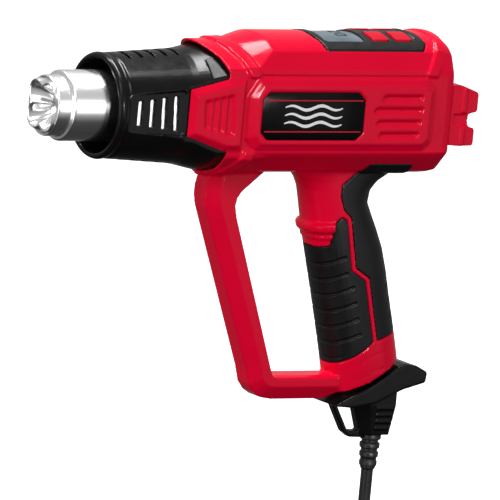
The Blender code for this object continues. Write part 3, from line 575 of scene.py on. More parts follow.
STRIPE_LEFT = ((194.6, -62.4), (200.3, -90.7), (209.8, -96.6), (218.8, -131.9))
STRIPE_RIGHT = ((191.7, -56.2), (197.0, -60.8), (202.5, -89.4), (212.0, -95.2), (221.1, -131.0))
FRONT_GRIP = (
    *STRIPE_LEFT,
    (210.0, -139.5), (200.0, -145.8), (190.0, -149.8), (160.0, -152.0), (160.0, -81.3), (180.0, -79.6),
    (186.7, -77.0), (187.4, -64.2), (190.9, -60.2),
)
BACK_GRIP = (
    *STRIPE_RIGHT,
    (236.0, -126.6), (260.0, -123.0), (260.0, -24.0), (206.0, -24.0), (202.5, -31.5), (189.2, -42.6),
    (189.2, -48.0),
)
TAIL = ((203.5, -28.2), (229.0, -28.2), (230.5, -29.7), (230.5, -42.0), (194.0, -42.0))
GUARD_OUTER = (
    (110.0, -28.0), (106.2, -45.0), (106.0, -50.5), (107.3, -56.6), (143.5, -148.2), (146.2, -157.4),
    (149.8, -162.0), (154.5, -164.9), (161.0, -165.9), (216.0, -165.9),
)
GUARD_INNER = (
    (216.0, -152.3), (162.0, -152.3), (160.2, -151.5), (159.0, -149.0), (126.6, -61.0), (125.3, -55.0),
    (126.0, -51.0), (128.4, -47.5), (141.0, -37.0), (143.0, -28.0),
)
GUARD = (*GUARD_OUTER, *GUARD_INNER)
GUARD_HALF = 10.5
GUARD_FLAT = 6.4
FOOT_LINE = (
    (196.5, -166.0), (203.0, -162.6), (209.1, -159.9), (219.8, -154.8), (230.2, -148.6), (238.9, -143.9),
)
FOOT_CUT = ((190.0, -166.2), *FOOT_LINE, (260.0, -131.0), (260.0, -200.0), (190.0, -200.0))
FOOT_TOP = (
    (190.0, -180.0), (190.0, -172.0),
    *((x, z - 0.4) for x, z in FOOT_LINE),
    (240.9, -143.2), (240.9, -130.0), (180.0, -130.0), (180.0, -180.0),
)
COLLAR_UPPER = ((60, 60), (90.0, 60), (90.0, 38.2), (94.5, 33.9), (98.2, 30.4), (101.3, 23.5), (101.0, 19.0))
COLLAR_LOWER = ((101.0, -19.0), (103.1, -21.4), (103.9, -33.0), (102.2, -36.0), (102.0, -60.0), (60.0, -60.0))
FINGER_BASE = ((76.2, 14.6), (76.2, -13.2), (100.0, -21.3), (112.5, -21.5), (112.5, 21.3), (103.0, 21.3))
FINGER_TOP = ((80.2, 10.6), (80.6, -10.6), (101.5, -17.4), (110.6, -17.6), (110.6, 17.0), (104.4, 16.6))
FINGER_PANEL = ((85.6, 7.6), (103.8, 11.2), (106.0, -11.8), (86.8, -8.0))
PAD_BASE = (
    (114.0, 10.6), (120.4, 20.4), (231.4, 20.4), (236.6, 15.0), (236.6, -15.0), (231.6, -20.0),
    (121.0, -20.0), (114.4, -13.6),
)
PAD_TOP = (
    (120.2, 9.0), (124.0, 16.4), (229.6, 16.4), (233.6, 12.6), (233.6, -12.8), (229.8, -16.6),
    (124.4, -16.6), (120.2, -12.0),
)
PAD_STEPS = (
    (PAD_BASE, -27.0),
    (PAD_BASE, -29.0),
    (inset_outline(PAD_BASE, 1.1), -30.0),
    (inset_outline(PAD_BASE, 1.9), -30.0),
    (PAD_TOP, -PAD),
)
BELT = (
    (102.5, 60.0), (102.5, 39.0), (105.6, 36.0), (110.4, 29.5), (115.0, 21.0), (122.2, 21.0),
    (117.4, 31.0), (113.2, 37.5), (110.6, 41.0), (110.6, 60.0),
)
REAR_BELT = (
    (230.2, 22.2), (236.2, 33.0), (241.0, 42.0), (241.0, 60.0), (246.8, 60.0), (246.8, 42.0),
    (242.2, 33.0), (237.4, 22.2),
)
LABEL = (
    (127.5, 12.9), (185.6, 12.9), (190.0, 8.6), (190.0, -9.7), (185.6, -14.0), (127.5, -14.0),
    (123.2, -9.7), (123.2, 8.6),
)
# x of the start and the end, height
LOUVRES = ((201.0, 228.6, 9.8), (195.9, 229.2, 2.7), (198.0, 228.3, -4.4), (200.2, 227.6, -11.3))
PANEL_HALF = 23.3
PANEL_OUTLINE = (
    (163.6, -12.0),
    (166.6, -PANEL_HALF),
    (230.0, -PANEL_HALF),
    (233.8, -18.5), (233.8, 18.5),
    (230.0, PANEL_HALF),
    (166.6, PANEL_HALF),
    (163.6, 12.0),
)
LEAN = math.radians(16.0)
SWITCH_AT = (215.5, -78.5)


# ---- housing


def side_details():
    """What is raised on the housing's left side, what is sunk in it and the ribs in the sunk panel."""
    raised = [
        frustum(FINGER_BASE, -28.2, FINGER_TOP, -31.3),
        loft([[(x, y, z) for x, z in outline] for outline, y in PAD_STEPS]),
    ]
    sunk = [
        plate([FINGER_PANEL], -40.0, -30.2),
        plate([inset_outline(LABEL, -0.4)], -40.0, -30.3),
        box((120.5, -40.0, 20.7), (231.6, -27.7, 22.3)),
        box((121.0, -40.0, -21.5), (231.0, -27.7, -20.2)),
        box((237.0, -40.0, -14.4), (238.3, -27.8, 14.4)),
    ]
    for start, end, z in LOUVRES:
        slot = ((start, z - 1.5), (end - 1.5, z - 1.5), (end, z + 1.5), (start + 2.2, z + 1.5))
        sunk.append(plate([slot], -40.0, -29.9))
    ribs = [box((x, -30.9, -10.0), (x + 1.5, -29.6, 9.6)) for x in (89.6, 94.2, 98.8)]
    return raised, sunk, ribs


def belts():
    """Raised bands: over and under the body behind the collar, and over it at the rear."""
    front_low = tuple((x, -z) for x, z in BELT)
    bands = []
    for outline, height in ((BELT, -1.5), (front_low, -1.3), (REAR_BELT, -1.3)):
        bands.append(common(body_solid(height), plate([outline], -60.0, 60.0)))
    return bands


def guard():
    """The closed guard with broad chamfers on its outer corners and small ones inside."""
    outer = chain_offset(GUARD_OUTER, 7.4)
    inner = chain_offset(GUARD_INNER, 1.1)
    solid = plate([GUARD], -GUARD_FLAT, GUARD_FLAT)
    for side in (-1, 1):
        cap = frustum(GUARD, side * (GUARD_FLAT - 0.05), (*outer, *inner), side * GUARD_HALF)
        solid = join(solid, cap)
    return solid


def chain_offset(chain, distance):
    """Moves an open chain of points to its left by a distance; its ends slide along their own runs."""
    moved = []
    for i, point in enumerate(chain):
        before = Vector(point) - Vector(chain[i - 1]) if i else None
        after = Vector(chain[i + 1]) - Vector(point) if i < len(chain) - 1 else None
        normals = [Vector((-d.y, d.x)).normalized() for d in (before, after) if d is not None]
        bisector = sum(normals, Vector((0.0, 0.0))).normalized()
        moved.append(tuple(Vector(point) + bisector * distance / max(bisector.dot(normals[0]), 0.5)))
    return moved


def neck_bead():
    """The rounded ridge above the grip that keeps the forefinger off the neck, and the lip under it."""
    pieces = []
    rise = 1.8
    rings = ((-71.4, -65.8, 1.7, 186.9), (-70.3, -66.9, 2.6, 186.4), (-75.0, -72.9, 0.9, 186.7))
    for low, high, proud, end in rings:
        band = ((165.0, low - rise), (end, low + rise), (end, high + rise), (165.0, high - rise))
        pieces.append(common(handle_solid(-proud), plate([band], -30.0, 30.0)))
    return pieces


def rear_slots():
    places = (-18.0, -11.0, -4.0, 4.0, 11.0, 18.0)
    return [box((244.0, y - 2.0, -14.0), (256.0, y + 2.0, 14.0)) for y in places]


def housing_solid():
    edge = [*COLLAR_UPPER, *COLLAR_LOWER]
    shell = join(body_solid(), *belts())
    shell = cut(shell, plate([edge], -60.0, 60.0))
    left = side_details()
    right = [[mirrored(piece) for piece in group] for group in side_details()]
    shell = join(shell, *left[0], *right[0])
    shell = cut(shell, *left[1], *right[1])
    shell = join(shell, *left[2], *right[2])
    shell = join(shell, handle_solid(2.4))
    outer = cut(handle_solid(), plate([FRONT_GRIP], -30.0, 30.0), plate([BACK_GRIP], -30.0, 30.0))
    shell = join(shell, outer, *neck_bead(), guard())
    shell = cut(shell, plate([FOOT_CUT], -50.0, 50.0), *base_grooves())
    socket = common(rod((83.0, 0, 0), 35.9, 30.5, sides=96), box((70.0, -28.1, -50.0), (130.0, 28.1, 50.0)))
    shell = cut(
        shell,
        socket,
        body_solid(WALL, 70.0),
        handle_solid(4.6),
        plate([inset_outline(GUARD, 4.0)], 3.2 - GUARD_HALF, GUARD_HALF - 3.2),
        plate([inset_outline(PANEL_OUTLINE, -0.35)], 31.5, 60.0, "Z"),
        switch_hole(0.0),
        *rear_slots(),
        *screw_holes(),
    )
    return shell


def base_grooves():
    """Two fine lines round the foot of the handle."""
    edge = ((180.0, -150.2), (203.0, -144.6), (221.0, -134.6), (262.0, -123.6))
    lines = []
    for drop_by in (4.0, 13.5):
        upper = [(x, z - drop_by) for x, z in edge]
        lower = [(x, z - 0.9) for x, z in reversed(upper)]
        ring = cut(handle_solid(-1.0), handle_solid(0.5))
        lines.append(common(ring, plate([[*upper, *lower]], -30.0, 30.0)))
    return lines


def along_handle(u, w):
    """A point u up the handle's lean and w out of its back, from the rocker's pivot."""
    x, z = SWITCH_AT
    return x + w * math.cos(LEAN) - u * math.sin(LEAN), z + w * math.sin(LEAN) + u * math.cos(LEAN)


def switch_hole(spare):
    corners = ((-12.2 - spare, -12.0), (12.2 + spare, -12.0), (12.2 + spare, 30.0), (-12.2 - spare, 30.0))
    return plate([[along_handle(u, w) for u, w in corners]], -7.8 - spare, 7.8 + spare)


def screw_holes():
    """Open the right half over the housing screws, as the CAD does."""
    holes = []
    for number in range(1, 7):
        low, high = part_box(f"housing_screw_{number}")
        x, z = (low[0] + high[0]) / 2, (low[2] + high[2]) / 2
        spot = (Vector((x, 0.0, z)) - MOUTH) * 1000.0
        head = (high[1] - MOUTH[1]) * 1000.0
        holes.append(rod((spot.x, 45.0, spot.z), 3.4, 45.0 - head + 2.3, "Y"))
    return holes


def halves(obj):
    """The left and right half of a finished solid, parted by a hairline at the middle plane."""
    parted = []
    for side in (-1, 1):
        work = bmesh.new()
        work.from_mesh(obj.data)
        made = bmesh.ops.bisect_plane(
            work,
            geom=[*work.verts, *work.edges, *work.faces],
            dist=1e-5,
            plane_co=(0.0, side * SEAM, 0.0),
            plane_no=(0.0, -side, 0.0),
            clear_outer=True,
        )
        rim = [e for e in made["geom_cut"] if isinstance(e, bmesh.types.BMEdge)]
        bmesh.ops.triangle_fill(work, edges=rim, use_beauty=True)
        parted.append(from_bmesh(work, "half"))
    drop(obj)
    return parted


def housing(mats):
    for half, hand in zip(halves(moulded(housing_solid())), ("left", "right"), strict=True):
        place(half, f"housing_{hand}_shell", mats["red_plastic"], f"housing_{hand}")


# ---- grips

# first corner, step to the next, how many, slope in degrees, width and reach
FRONT_RIBS = ((174.5, -94.6), (2.35, -9.05), 7, 26.0, 1.7, 24.0)
BACK_RIBS = ((222.0, -104.0), (2.3, -8.2), 4, 42.0, 1.4, 30.0)


def rib_bands(start, step, count, slope, width, reach):
    """Sloping bands across the grip in side view, spaced down the handle."""
    rise = reach * math.tan(math.radians(slope))
    bands = []
    for k in range(count):
        x = start[0] + step[0] * k
        z = start[1] + step[1] * k
        corners = ((x, z), (x + reach, z + rise), (x + reach, z + rise + width), (x, z + width))
        bands.append(plate([corners], -30.0, 30.0))
    return bands


def grips(mats):
    """Rubber skins over the handle's front and back; the back one runs out in a tail under the body."""
    kinds = ((FRONT_GRIP, "front", FRONT_RIBS, 1.0), (BACK_GRIP, "back", BACK_RIBS, 0.8))
    for zone, word, ribs, sunk in kinds:
        skin = cut(handle_solid(0.05), handle_solid(2.0))
        skin = common(skin, plate([inset_outline(zone, 0.25)], -30.0, 30.0))
        skin = cut(skin, body_solid(-0.2))
        if word == "back":
            tail = cut(body_solid(-0.8), body_solid(-0.08))
            skin = join(skin, common(tail, plate([TAIL], -23.2, 23.2)))
        skin = cut(skin, switch_hole(0.2))
        depth = cut(handle_solid(-1.0), handle_solid(sunk))
        depth = common(depth, plate([inset_outline(zone, 2.6)], -30.0, 30.0))
        for band in rib_bands(*ribs):
            skin = cut(skin, common(copy(depth), band))
        drop(depth)
        for half, hand in zip(halves(moulded(skin, SMALL, 1)), ("left", "right"), strict=True):
            place(half, f"grip_{word}_{hand}_skin", mats["grip_rubber"], f"grip_{word}_{hand}")


# ---- hot end


def heat_sleeve(mats):
    outer = (
        (26.6, 102.0), (32.0, 112.0), (35.4, 112.0), (35.5, 97.5), (34.9, 94.5), (32.6, 84.0),
        (32.1, 80.0), (29.6, 40.0), (28.9, 38.8), (28.9, 37.2), (29.7, 36.2), (29.9, 34.4), (29.3, 32.9),
        (28.4, 32.2), (27.2, 32.2), (26.4, 33.0), (26.4, 60.0),
    )
    sleeve = turned(outer)
    flat = ((36.5, 14.0), (75.0, 17.5), (130.0, 20.5), (130.0, -20.5), (75.0, -17.0), (36.5, -14.0))
    panel = ((38.8, 10.6), (73.5, 13.4), (75.0, 12.0), (75.0, -11.5), (73.5, -12.6), (38.8, -10.4))
    for side in (-1, 1):
        sleeve = cut(
            sleeve,
            side_plate(flat, side, 28.5, 60.0),
            side_box(side, (88.0, 28.5, -40.0), (130.0, 60.0, 40.0)),
            side_plate(panel, side, 27.6, 60.0),
            shoulder_facet(side),
            side_box(side, (75.0, 27.75, -22.0), (130.0, 60.0, 22.0)),
            side_box(side, (42.6, 20.0, -11.6), (74.0, 26.35, 11.6)),
        )
    for k in range(4):
        x = 46.2 + 7.75 * k
        half = 6.9 + 0.9 * k
        low, high = x - 1.35, x + 1.35
        lean = -0.2 * k
        slot = ((low - lean, -half), (high - lean, -half), (high + lean, half), (low + lean, half))
        sleeve = cut(sleeve, plate([slot], -60.0, 60.0))
    for k in range(5):
        x = 47.0 + 7.75 * k
        for side in (-1, 1):
            low, high = sorted((side * 24.0, side * 60.0))
            sleeve = cut(sleeve, box((x - 1.0, -10.0, low), (x + 1.0, 10.0, high)))
    place(moulded(sleeve, SLEEVE_GRID, 1), "heat_sleeve_skin", mats["black_plastic"], "heat_sleeve")


def shoulder_facet(side):
    """A flat cut across the sleeve's rear shoulder."""
    normal = Vector((-0.14, side * 0.69, 0.71)).normalized()
    point = Vector((95.0, side * 23.3, 24.6))
    block = box((-30.0, -30.0, 0.0), (30.0, 30.0, 20.0))
    turn = normal.to_track_quat("Z", "X").to_matrix().to_4x4()
    block.data.transform(Matrix.Translation(point) @ turn)
    return common(block, box((90.6, -60.0, 15.0), (104.0, 60.0, 60.0)))


def outlet(mats):
    """The stepped tube, with the two bright strips that show through the sleeve's side slots."""
    profile = (
        (18.9, 128.0), (19.8, 128.0), (19.85, 127.6), (19.85, 10.6), (19.7, 9.6), (19.2, 8.9),
        (18.4, 8.6), (17.5, 8.5), (17.1, 8.2), (17.1, 1.2), (16.95, 0.5), (16.5, 0.1), (16.0, 0.3),
        (15.8, 1.0), (15.8, 9.0), (16.4, 9.6), (18.4, 9.9), (18.9, 10.8),
    )
    strips = [side_box(side, (43.0, 25.6, -11.2), (73.6, 26.2, 11.2)) for side in (-1, 1)]
    tube_shell = join(turned(profile, sides=128), *strips)
    place(tube_shell, "outlet_tube_shell", mats["outlet_steel"], "outlet_tube", smooth=40)
    mixer(mats)


def mixer(mats):
    """The star in the mouth: four lobes that touch the crown, folded in to a point inside."""
    outside = ((3.0, 15.7, 15.7), (1.2, 15.0, 16.5), (-0.4, 13.2, 16.7), (-1.4, 11.8, 16.6))
    rim = ((-1.9, 11.2, 16.3), (-1.8, 10.7, 15.8), (-1.0, 10.2, 15.2))
    inside = ((0.5, 9.2, 14.6), (4.0, 7.2, 12.6), (8.0, 4.4, 8.8), (11.0, 2.2, 4.5), (12.5, 0.4, 0.5))
    rings = []
    for depth, fold, lobe in (*outside, *rim, *inside):
        ring = []
        for angle in turns_of(96):
            reach = fold + (lobe - fold) * (0.5 - 0.5 * math.cos(4 * angle)) ** 0.7
            ring.append((depth, reach * math.cos(angle), reach * math.sin(angle)))
        rings.append(ring)
    sheet = loft(rings, open_start=True)
    wall = sheet.modifiers.new("wall", "SOLIDIFY")
    wall.thickness = 0.3
    wall.offset = 0.0
    place(settle(sheet), "flow_mixer_star", mats["outlet_steel"], "flow_mixer", smooth=60)


# ---- plates, panel and keys


def wave_outline(z, steps=60):
    """A wavy bar that thins out at its ends."""
    upper, lower = [], []
    for i in range(1, steps):
        t = i / steps
        x = 137.0 + 39.0 * t
        middle = z + 1.2 * math.sin(4 * math.pi * t)
        half = 0.9 * math.sin(math.pi * t) ** 0.4
        upper.append((x, middle + half))
        lower.append((x, middle - half))
    return [*upper, *reversed(lower)]


def labels(mats):
    """Black side plates with two thin red lines and a plain warm-air sign."""
    face = 31.35
    printed = face + 0.12
    for side, hand in HANDS:
        body = side_plate(LABEL, side, 30.45, face, bevel=0.25)
        place(body, f"label_{hand}_plate", mats["black_label"], f"label_{hand}")
        for z, word in ((8.4, "upper"), (-9.2, "lower")):
            strip = ((125.0, z - 0.35), (188.2, z - 0.35), (188.2, z + 0.35), (125.0, z + 0.35))
            line = side_plate(strip, side, face, printed)
            place(line, f"label_{hand}_line_{word}", mats["label_red"], slot="black_label")
        for row in range(3):
            wave = side_plate(wave_outline(4.3 - 4.6 * row), side, face, printed)
            place(wave, f"label_{hand}_wave_{row + 1}", mats["label_white"], slot="black_label")


def crowned_plate(outline, top, thickness):
    """A plate with an (x, y) outline whose top and underside follow the crown."""
    slab = plate([outline], top - 16.0, top + 4.0, "Z")
    xs = [p[0] for p in outline]
    ys = [p[1] for p in outline]
    rings = []
    for x in (min(xs) - 1.0, max(xs) + 1.0):
        across = spread(min(ys) - 1.0, max(ys) + 1.0, 24)
        ring = [(x, y, crown(y, top)) for y in across]
        ring += [(x, y, crown(y, top) - thickness) for y in reversed(across)]
        rings.append(ring)
    return common(slab, loft(rings))


def spread(start, end, count):
    return [start + (end - start) * i / count for i in range(count + 1)]


LCD = (
    (168.6, -16.0), (169.8, -17.2), (193.4, -17.2), (194.6, -16.0), (194.6, 16.0), (193.4, 17.2),
    (169.8, 17.2), (168.6, 16.0),
)
KEYS = {"front": (205.45, 11.6), "rear": (220.75, 11.6)}  # x of the middle, length
KEY_Y = 10.9
KEY_HALF = 6.6


def key_outline(x, y, half_x, half_y, corner=1.2):
    return (
        (x - half_x + corner, y - half_y),
        (x + half_x - corner, y - half_y),
        (x + half_x, y - half_y + corner),
        (x + half_x, y + half_y - corner),
        (x + half_x - corner, y + half_y),
        (x - half_x + corner, y + half_y),
        (x - half_x, y + half_y - corner),
        (x - half_x, y - half_y + corner),
    )


def control_panel(mats):
    panel = plate([PANEL_OUTLINE], 32.0, 50.0, "Z")
    panel = cut(panel, over_crown(24.5, CROWN_TOP + 0.25, 60.0, 160.0, 240.0))
    panel = cut(panel, over_crown(20.0, 40.6, 20.0, 169.2, 229.8))
    panel = cut(panel, plate([inset_outline(LCD, -0.3)], 30.0, 60.0, "Z"))
    for x, length in KEYS.values():
        for side in (-1, 1):
            panel = cut(panel, plate([key_outline(x, side * KEY_Y, length / 2, KEY_HALF)], 30.0, 60.0, "Z"))
    rib = crowned_plate(((228.4, -15.0), (229.7, -15.0), (229.7, 15.0), (228.4, 15.0)), 43.9, 2.0)
    place(moulded(join(panel, rib), SMALL, 1), "control_panel_cover", mats["panel_plastic"], "control_panel")
    window = crowned_plate(inset_outline(LCD, 0.1), 42.3, 1.5)
    place(window, "lcd_window_pane", mats["display_glass"], "lcd_window")
    digits(mats)
    for end, (x, length) in KEYS.items():
        for side, hand in HANDS:
            y = side * KEY_Y
            key = crowned_plate(key_outline(x, y, length / 2 - 0.35, KEY_HALF - 0.35), 43.8, 2.6)
            key = join(key, box((x - 2.0, y - 2.0, 35.0), (x + 2.0, y + 2.0, 40.0)))
            key = moulded(key, KEY_GRID, 1)
            name = f"button_{end}_{hand}"
            place(key, f"{name}_cap", mats["button_plastic"], name, f"key_{end}_{hand}")


def over_crown(half, top, level, start, end):
    """What lies between the crown and a level above or below it."""
    arc = [(y, crown(y, top)) for y in spread(-half, half, 40)]
    return loft([[(x, y, z) for y, z in (*arc, (half, level), (-half, level))] for x in (start, end)])


SEGMENTS = {"2": "abged", "5": "afgcd", "0": "abcdef"}


def digits(mats):
    """Plain seven-segment figures on the display's pane, read from the rear."""
    half, tall = 1.5, 3.0
    row_x, pitch, thick = 184.5, 7.0, 0.4
    strokes = {
        "a": ((-half, tall), (half, tall)),
        "b": ((half, tall), (half, 0.0)),
        "c": ((half, 0.0), (half, -tall)),
        "d": ((-half, -tall), (half, -tall)),
        "e": ((-half, 0.0), (-half, -tall)),
        "f": ((-half, tall), (-half, 0.0)),
        "g": ((-half, 0.0), (half, 0.0)),
    }
    for number, figure in enumerate("250"):
        row_y = pitch - pitch * number
        for letter in SEGMENTS[figure]:
            us, vs = zip(*strokes[letter])
            low_x, high_x = row_x - max(vs) - thick, row_x - min(vs) + thick
            low_y, high_y = row_y - max(us) - thick, row_y - min(us) + thick
            outline = ((low_x, low_y), (high_x, low_y), (high_x, high_y), (low_x, high_y))
            bar = crowned_plate(outline, 42.38, 0.3)
            place(bar, f"lcd_figure_{number + 1}_{letter}", mats["digit"], slot="display_glass")


# ---- rear stand, foot and boot

CORD_X = 234.2
HOOK_UPPER = (
    (249.9, 17.0), (256.5, 16.6), (267.4, 12.6), (267.4, 1.6), (262.2, 0.6), (262.2, -3.4), (249.9, -3.4),
)
HOOK_LOWER = (
    (249.9, -3.4), (262.2, -3.4), (262.2, -7.0), (266.4, -7.6), (266.4, -17.6), (256.5, -18.0),
    (249.9, -17.4),
)
FLANGE = (
    (198.5, -169.0), (209.0, -163.6), (220.0, -158.6), (231.0, -152.0), (239.5, -146.4), (244.5, -145.0),
    (251.6, -146.2), (259.0, -149.8), (258.2, -156.0), (243.5, -160.0), (226.0, -168.0), (212.0, -170.2),
)
EYE = ((203.7, -167.9), (213.9, -186.0), (218.6, -189.2), (229.0, -189.6), (229.0, -166.0), (212.0, -166.0))
EYE_HOLE = (
    (208.6, -171.0), (219.2, -170.4), (224.2, -184.2), (223.2, -185.4), (217.8, -185.4), (216.2, -184.2),
)
BLOCK = (  # x of the nose, the shoulder and the back, half width and height
    (219.6, 226.4, 243.7, 9.4, -152.0),
    (219.6, 226.4, 243.7, 9.4, -170.0),
    (225.2, 229.6, 241.4, 7.7, -187.3),
)


def softened(outline, cut_back):
    """The outline with each corner taken off by a short arc."""
    points = []
    for i, corner in enumerate(outline):
        here = Vector(corner)
        ends = []
        for neighbour in (outline[i - 1], outline[(i + 1) % len(outline)]):
            ends.append(here + (Vector(neighbour) - here).normalized() * cut_back)
        points += [tuple(ends[0]), tuple((ends[0] + ends[1]) * 0.3 + here * 0.4), tuple(ends[1])]
    return points


def rear_stand(mats):
    """The frame round the intake: a hollow plate with an upper and a lower pair of hooks to stand on."""
    stand = box((249.9, -26.4, -17.6), (255.8, 26.4, 16.8))
    stand = cut(stand, box((240.0, -20.5, -14.0), (270.0, 20.5, 14.0)))
    heights = ((1.6, 15.0), (-17.4, -7.6))
    for side in (-1, 1):
        hooks = [side_plate(softened(hook, 1.1), side, 20.4, 27.1) for hook in (HOOK_UPPER, HOOK_LOWER)]
        ribs = [side_box(side, (257.0, 26.0, low), (259.6, 28.0, high)) for low, high in heights]
        notch = side_box(side, (252.0, 26.2, -6.0), (263.0, 40.0, 0.4))
        stand = cut(join(stand, *hooks, *ribs), notch)
    place(moulded(stand, STAND_GRID, 1), "rear_stand_frame", mats["red_plastic"], "rear_stand")


def end_cap(mats):
    """The foot: a flange under the handle, a tapering block round the cord and the hanging eye before it."""
    cap = plate([FLANGE], -15.5, 15.5, bevel=1.2)
    rings = []
    for front, middle, back, half, z in BLOCK:
        near = ((front, -3.2), (middle, -half), (back, -half))
        rings.append([(x, y, z) for x, y in (*near, *((x, -y) for x, y in reversed(near)))])
    cap = join(cap, loft(rings))
    cap = cut(cap, plate([FOOT_TOP], -60.0, 60.0))
    x = CORD_X
    for k in range(4):
        z = -171.5 - 3.9 * k
        low, high = (x - 2.6, 7.0, z - 0.6), (x + 7.4 - 0.4 * k, 9.8 - 0.36 * k, z + 0.6)
        cap = join(cap, *(side_box(side, low, high) for side in (-1, 1)))
    cap = join(cap, plate([EYE, EYE_HOLE], -2.9, 2.9, bevel=0.7))
    cap = cut(cap, rod((x, 0, -200.0), 4.0, 80.0, "Z"), rod((x, 0, -200.0), 5.9, 22.0, "Z"))
    cap = cut(cap, rod((x - 1.0, 0, -160.0), 6.2, 40.0, "Z"))
    place(moulded(cap, SMALL, 2), "end_cap_foot", mats["black_plastic"], "end_cap")


def cord_boot(mats):
    """The ribbed strain relief: four collars, each a little smaller than the one above."""
    pitch = 20.5 / 4
    profile = [(5.5, 9.0), (5.5, 0.2)]
    for k in range(4):
        top = -k * pitch
        outer = 6.2 - 0.36 * k
        neck = 4.8 - 0.1 * k
        profile += [(outer - 0.5, top), (outer, top - 0.5)]
        profile += [(outer - 0.15, top - 2.9), (outer - 0.7, top - 3.3)]
        profile += [(neck, top - 3.5), (neck, top - pitch + 0.2)]
    profile[-1:] = [(3.95, -4 * pitch + 0.1), (3.95, 9.0)]
    sleeve = turned(profile, (CORD_X, 0, -187.5), "Z", 64)
    place(sleeve, "cord_boot_sleeve", mats["cord_rubber"], "cord_boot", smooth=50)


# ---- cord and plug

CORD_R = 3.5
EXIT = (CORD_X, 0.0, -208.3)
COIL_CENTRE = (CORD_X, -313.0)
INNER_TURN, OUTER_TURN = 35.0, 42.0
LAYER = 7.0
COIL_HALF = 14.0  # from the middle plane to the outermost turn
START = math.radians(48.0)
STEPS = 36  # points in each turn
TURNS_OUT = 4.0
TURNS_BACK = 4.111
TAIL_X = CORD_X - 42.0
PLUG_TOP = -352.0
PLUG_Y = -19.0
PIN_AT = 9.5  # from the plug's middle to each pin


def coil_point(angle, radius, y):
    """A point of the coil; the angle runs anticlockwise from the top as seen from the gun's left."""
    x, z = COIL_CENTRE
    return (x - radius * math.sin(angle), y, z + radius * math.cos(angle))


def ease(t):
    """Rises from 0 to 1 with no slope at either end."""
    t = min(1.0, max(0.0, t))
    return t * t * (3 - 2 * t)


def cord_route():
    """From the boot: a short drop, the outer turns, the inner turns back and the tail to the plug."""
    bend = 45.0
    drop_points = [EXIT, (CORD_X, 0.0, -218.0), (CORD_X, 0.0, -226.0), (CORD_X, -0.6, -233.0)]
    for degrees, y in ((14, -4.4), (28, -9.2), (42, -12.6)):
        angle = math.radians(degrees)
        drop_points.append((CORD_X - bend * (1 - math.cos(angle)), y, -233.0 - bend * math.sin(angle)))
    drop_points.append((CORD_X - 21.4, -COIL_HALF, -274.0))
    drop_points.append(coil_point(START, OUTER_TURN, -COIL_HALF))
    line = smooth_line(drop_points, 4)[:-1]
    for i in range(int(TURNS_OUT * STEPS) + 1):
        turn = i / STEPS
        line.append(coil_point(START + 2 * math.pi * turn, OUTER_TURN, LAYER * turn - COIL_HALF))
    for i in range(1, int(TURNS_BACK * STEPS) + 1):
        turn = i / STEPS
        radius = OUTER_TURN - (OUTER_TURN - INNER_TURN) * ease(turn / 0.35)
        y = COIL_HALF - LAYER * max(0.0, turn - 0.2) - 8.0 * ease((turn - TURNS_BACK + 0.22) / 0.22)
        line.append(coil_point(START + 2 * math.pi * (TURNS_OUT + turn), radius, y))
    tail = [line[-3], line[-2], line[-1]]
    way = ((-35.7, -21.6, -321.0), (-38.5, -21.5, -329.5), (-41.1, -20.8, -338.0), (-42.0, -19.8, -346.0))
    tail += [(CORD_X + x, y, z) for x, y, z in way]
    tail.append((TAIL_X, PLUG_Y, PLUG_TOP))
    return [*line[:-3], *smooth_line(tail, 4)]


def cord(mats):
    line = [TO_ROW @ Vector(point) for point in cord_route()]
    piece = tube(line, CORD_R / 1000.0, "mains_cord")
    piece.data.materials.append(mats["cord_rubber"])
    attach(piece, ROOT)
    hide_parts("power_cord", "cord_coil", "cord_tail")
    return piece


def coil_tie(mats):
    """A flat band round the turns at the bottom of the coil, with its buckle."""
    middle = COIL_CENTRE[1] - (INNER_TURN + OUTER_TURN) / 2
    outer = rounded(middle, 19.0, 8.6, 3.4)
    inner = rounded(middle, 17.8, 7.4, 3.0)
    band = plate([outer, inner], CORD_X - 4.0, CORD_X + 4.0, "X")
    buckle = box((CORD_X - 5.0, 18.6, middle - 4.0), (CORD_X + 5.0, 21.4, middle + 4.0))
    place(moulded(join(band, buckle), TIE_GRID, 1), "coil_tie_band", mats["black_plastic"], "coil_tie")


def rounded(level, half_y, half_z, corner, steps=6):
    """A (y, z) rectangle with round corners about a level on the middle plane."""
    points = []
    for quarter, (su, sv) in enumerate(((1, 1), (-1, 1), (-1, -1), (1, -1))):
        for i in range(steps + 1):
            angle = math.pi / 2 * (quarter + i / steps)
            y = su * (half_y - corner) + corner * math.cos(angle)
            z = sv * (half_z - corner) + corner * math.sin(angle)
            points.append((y, level + z))
    return points


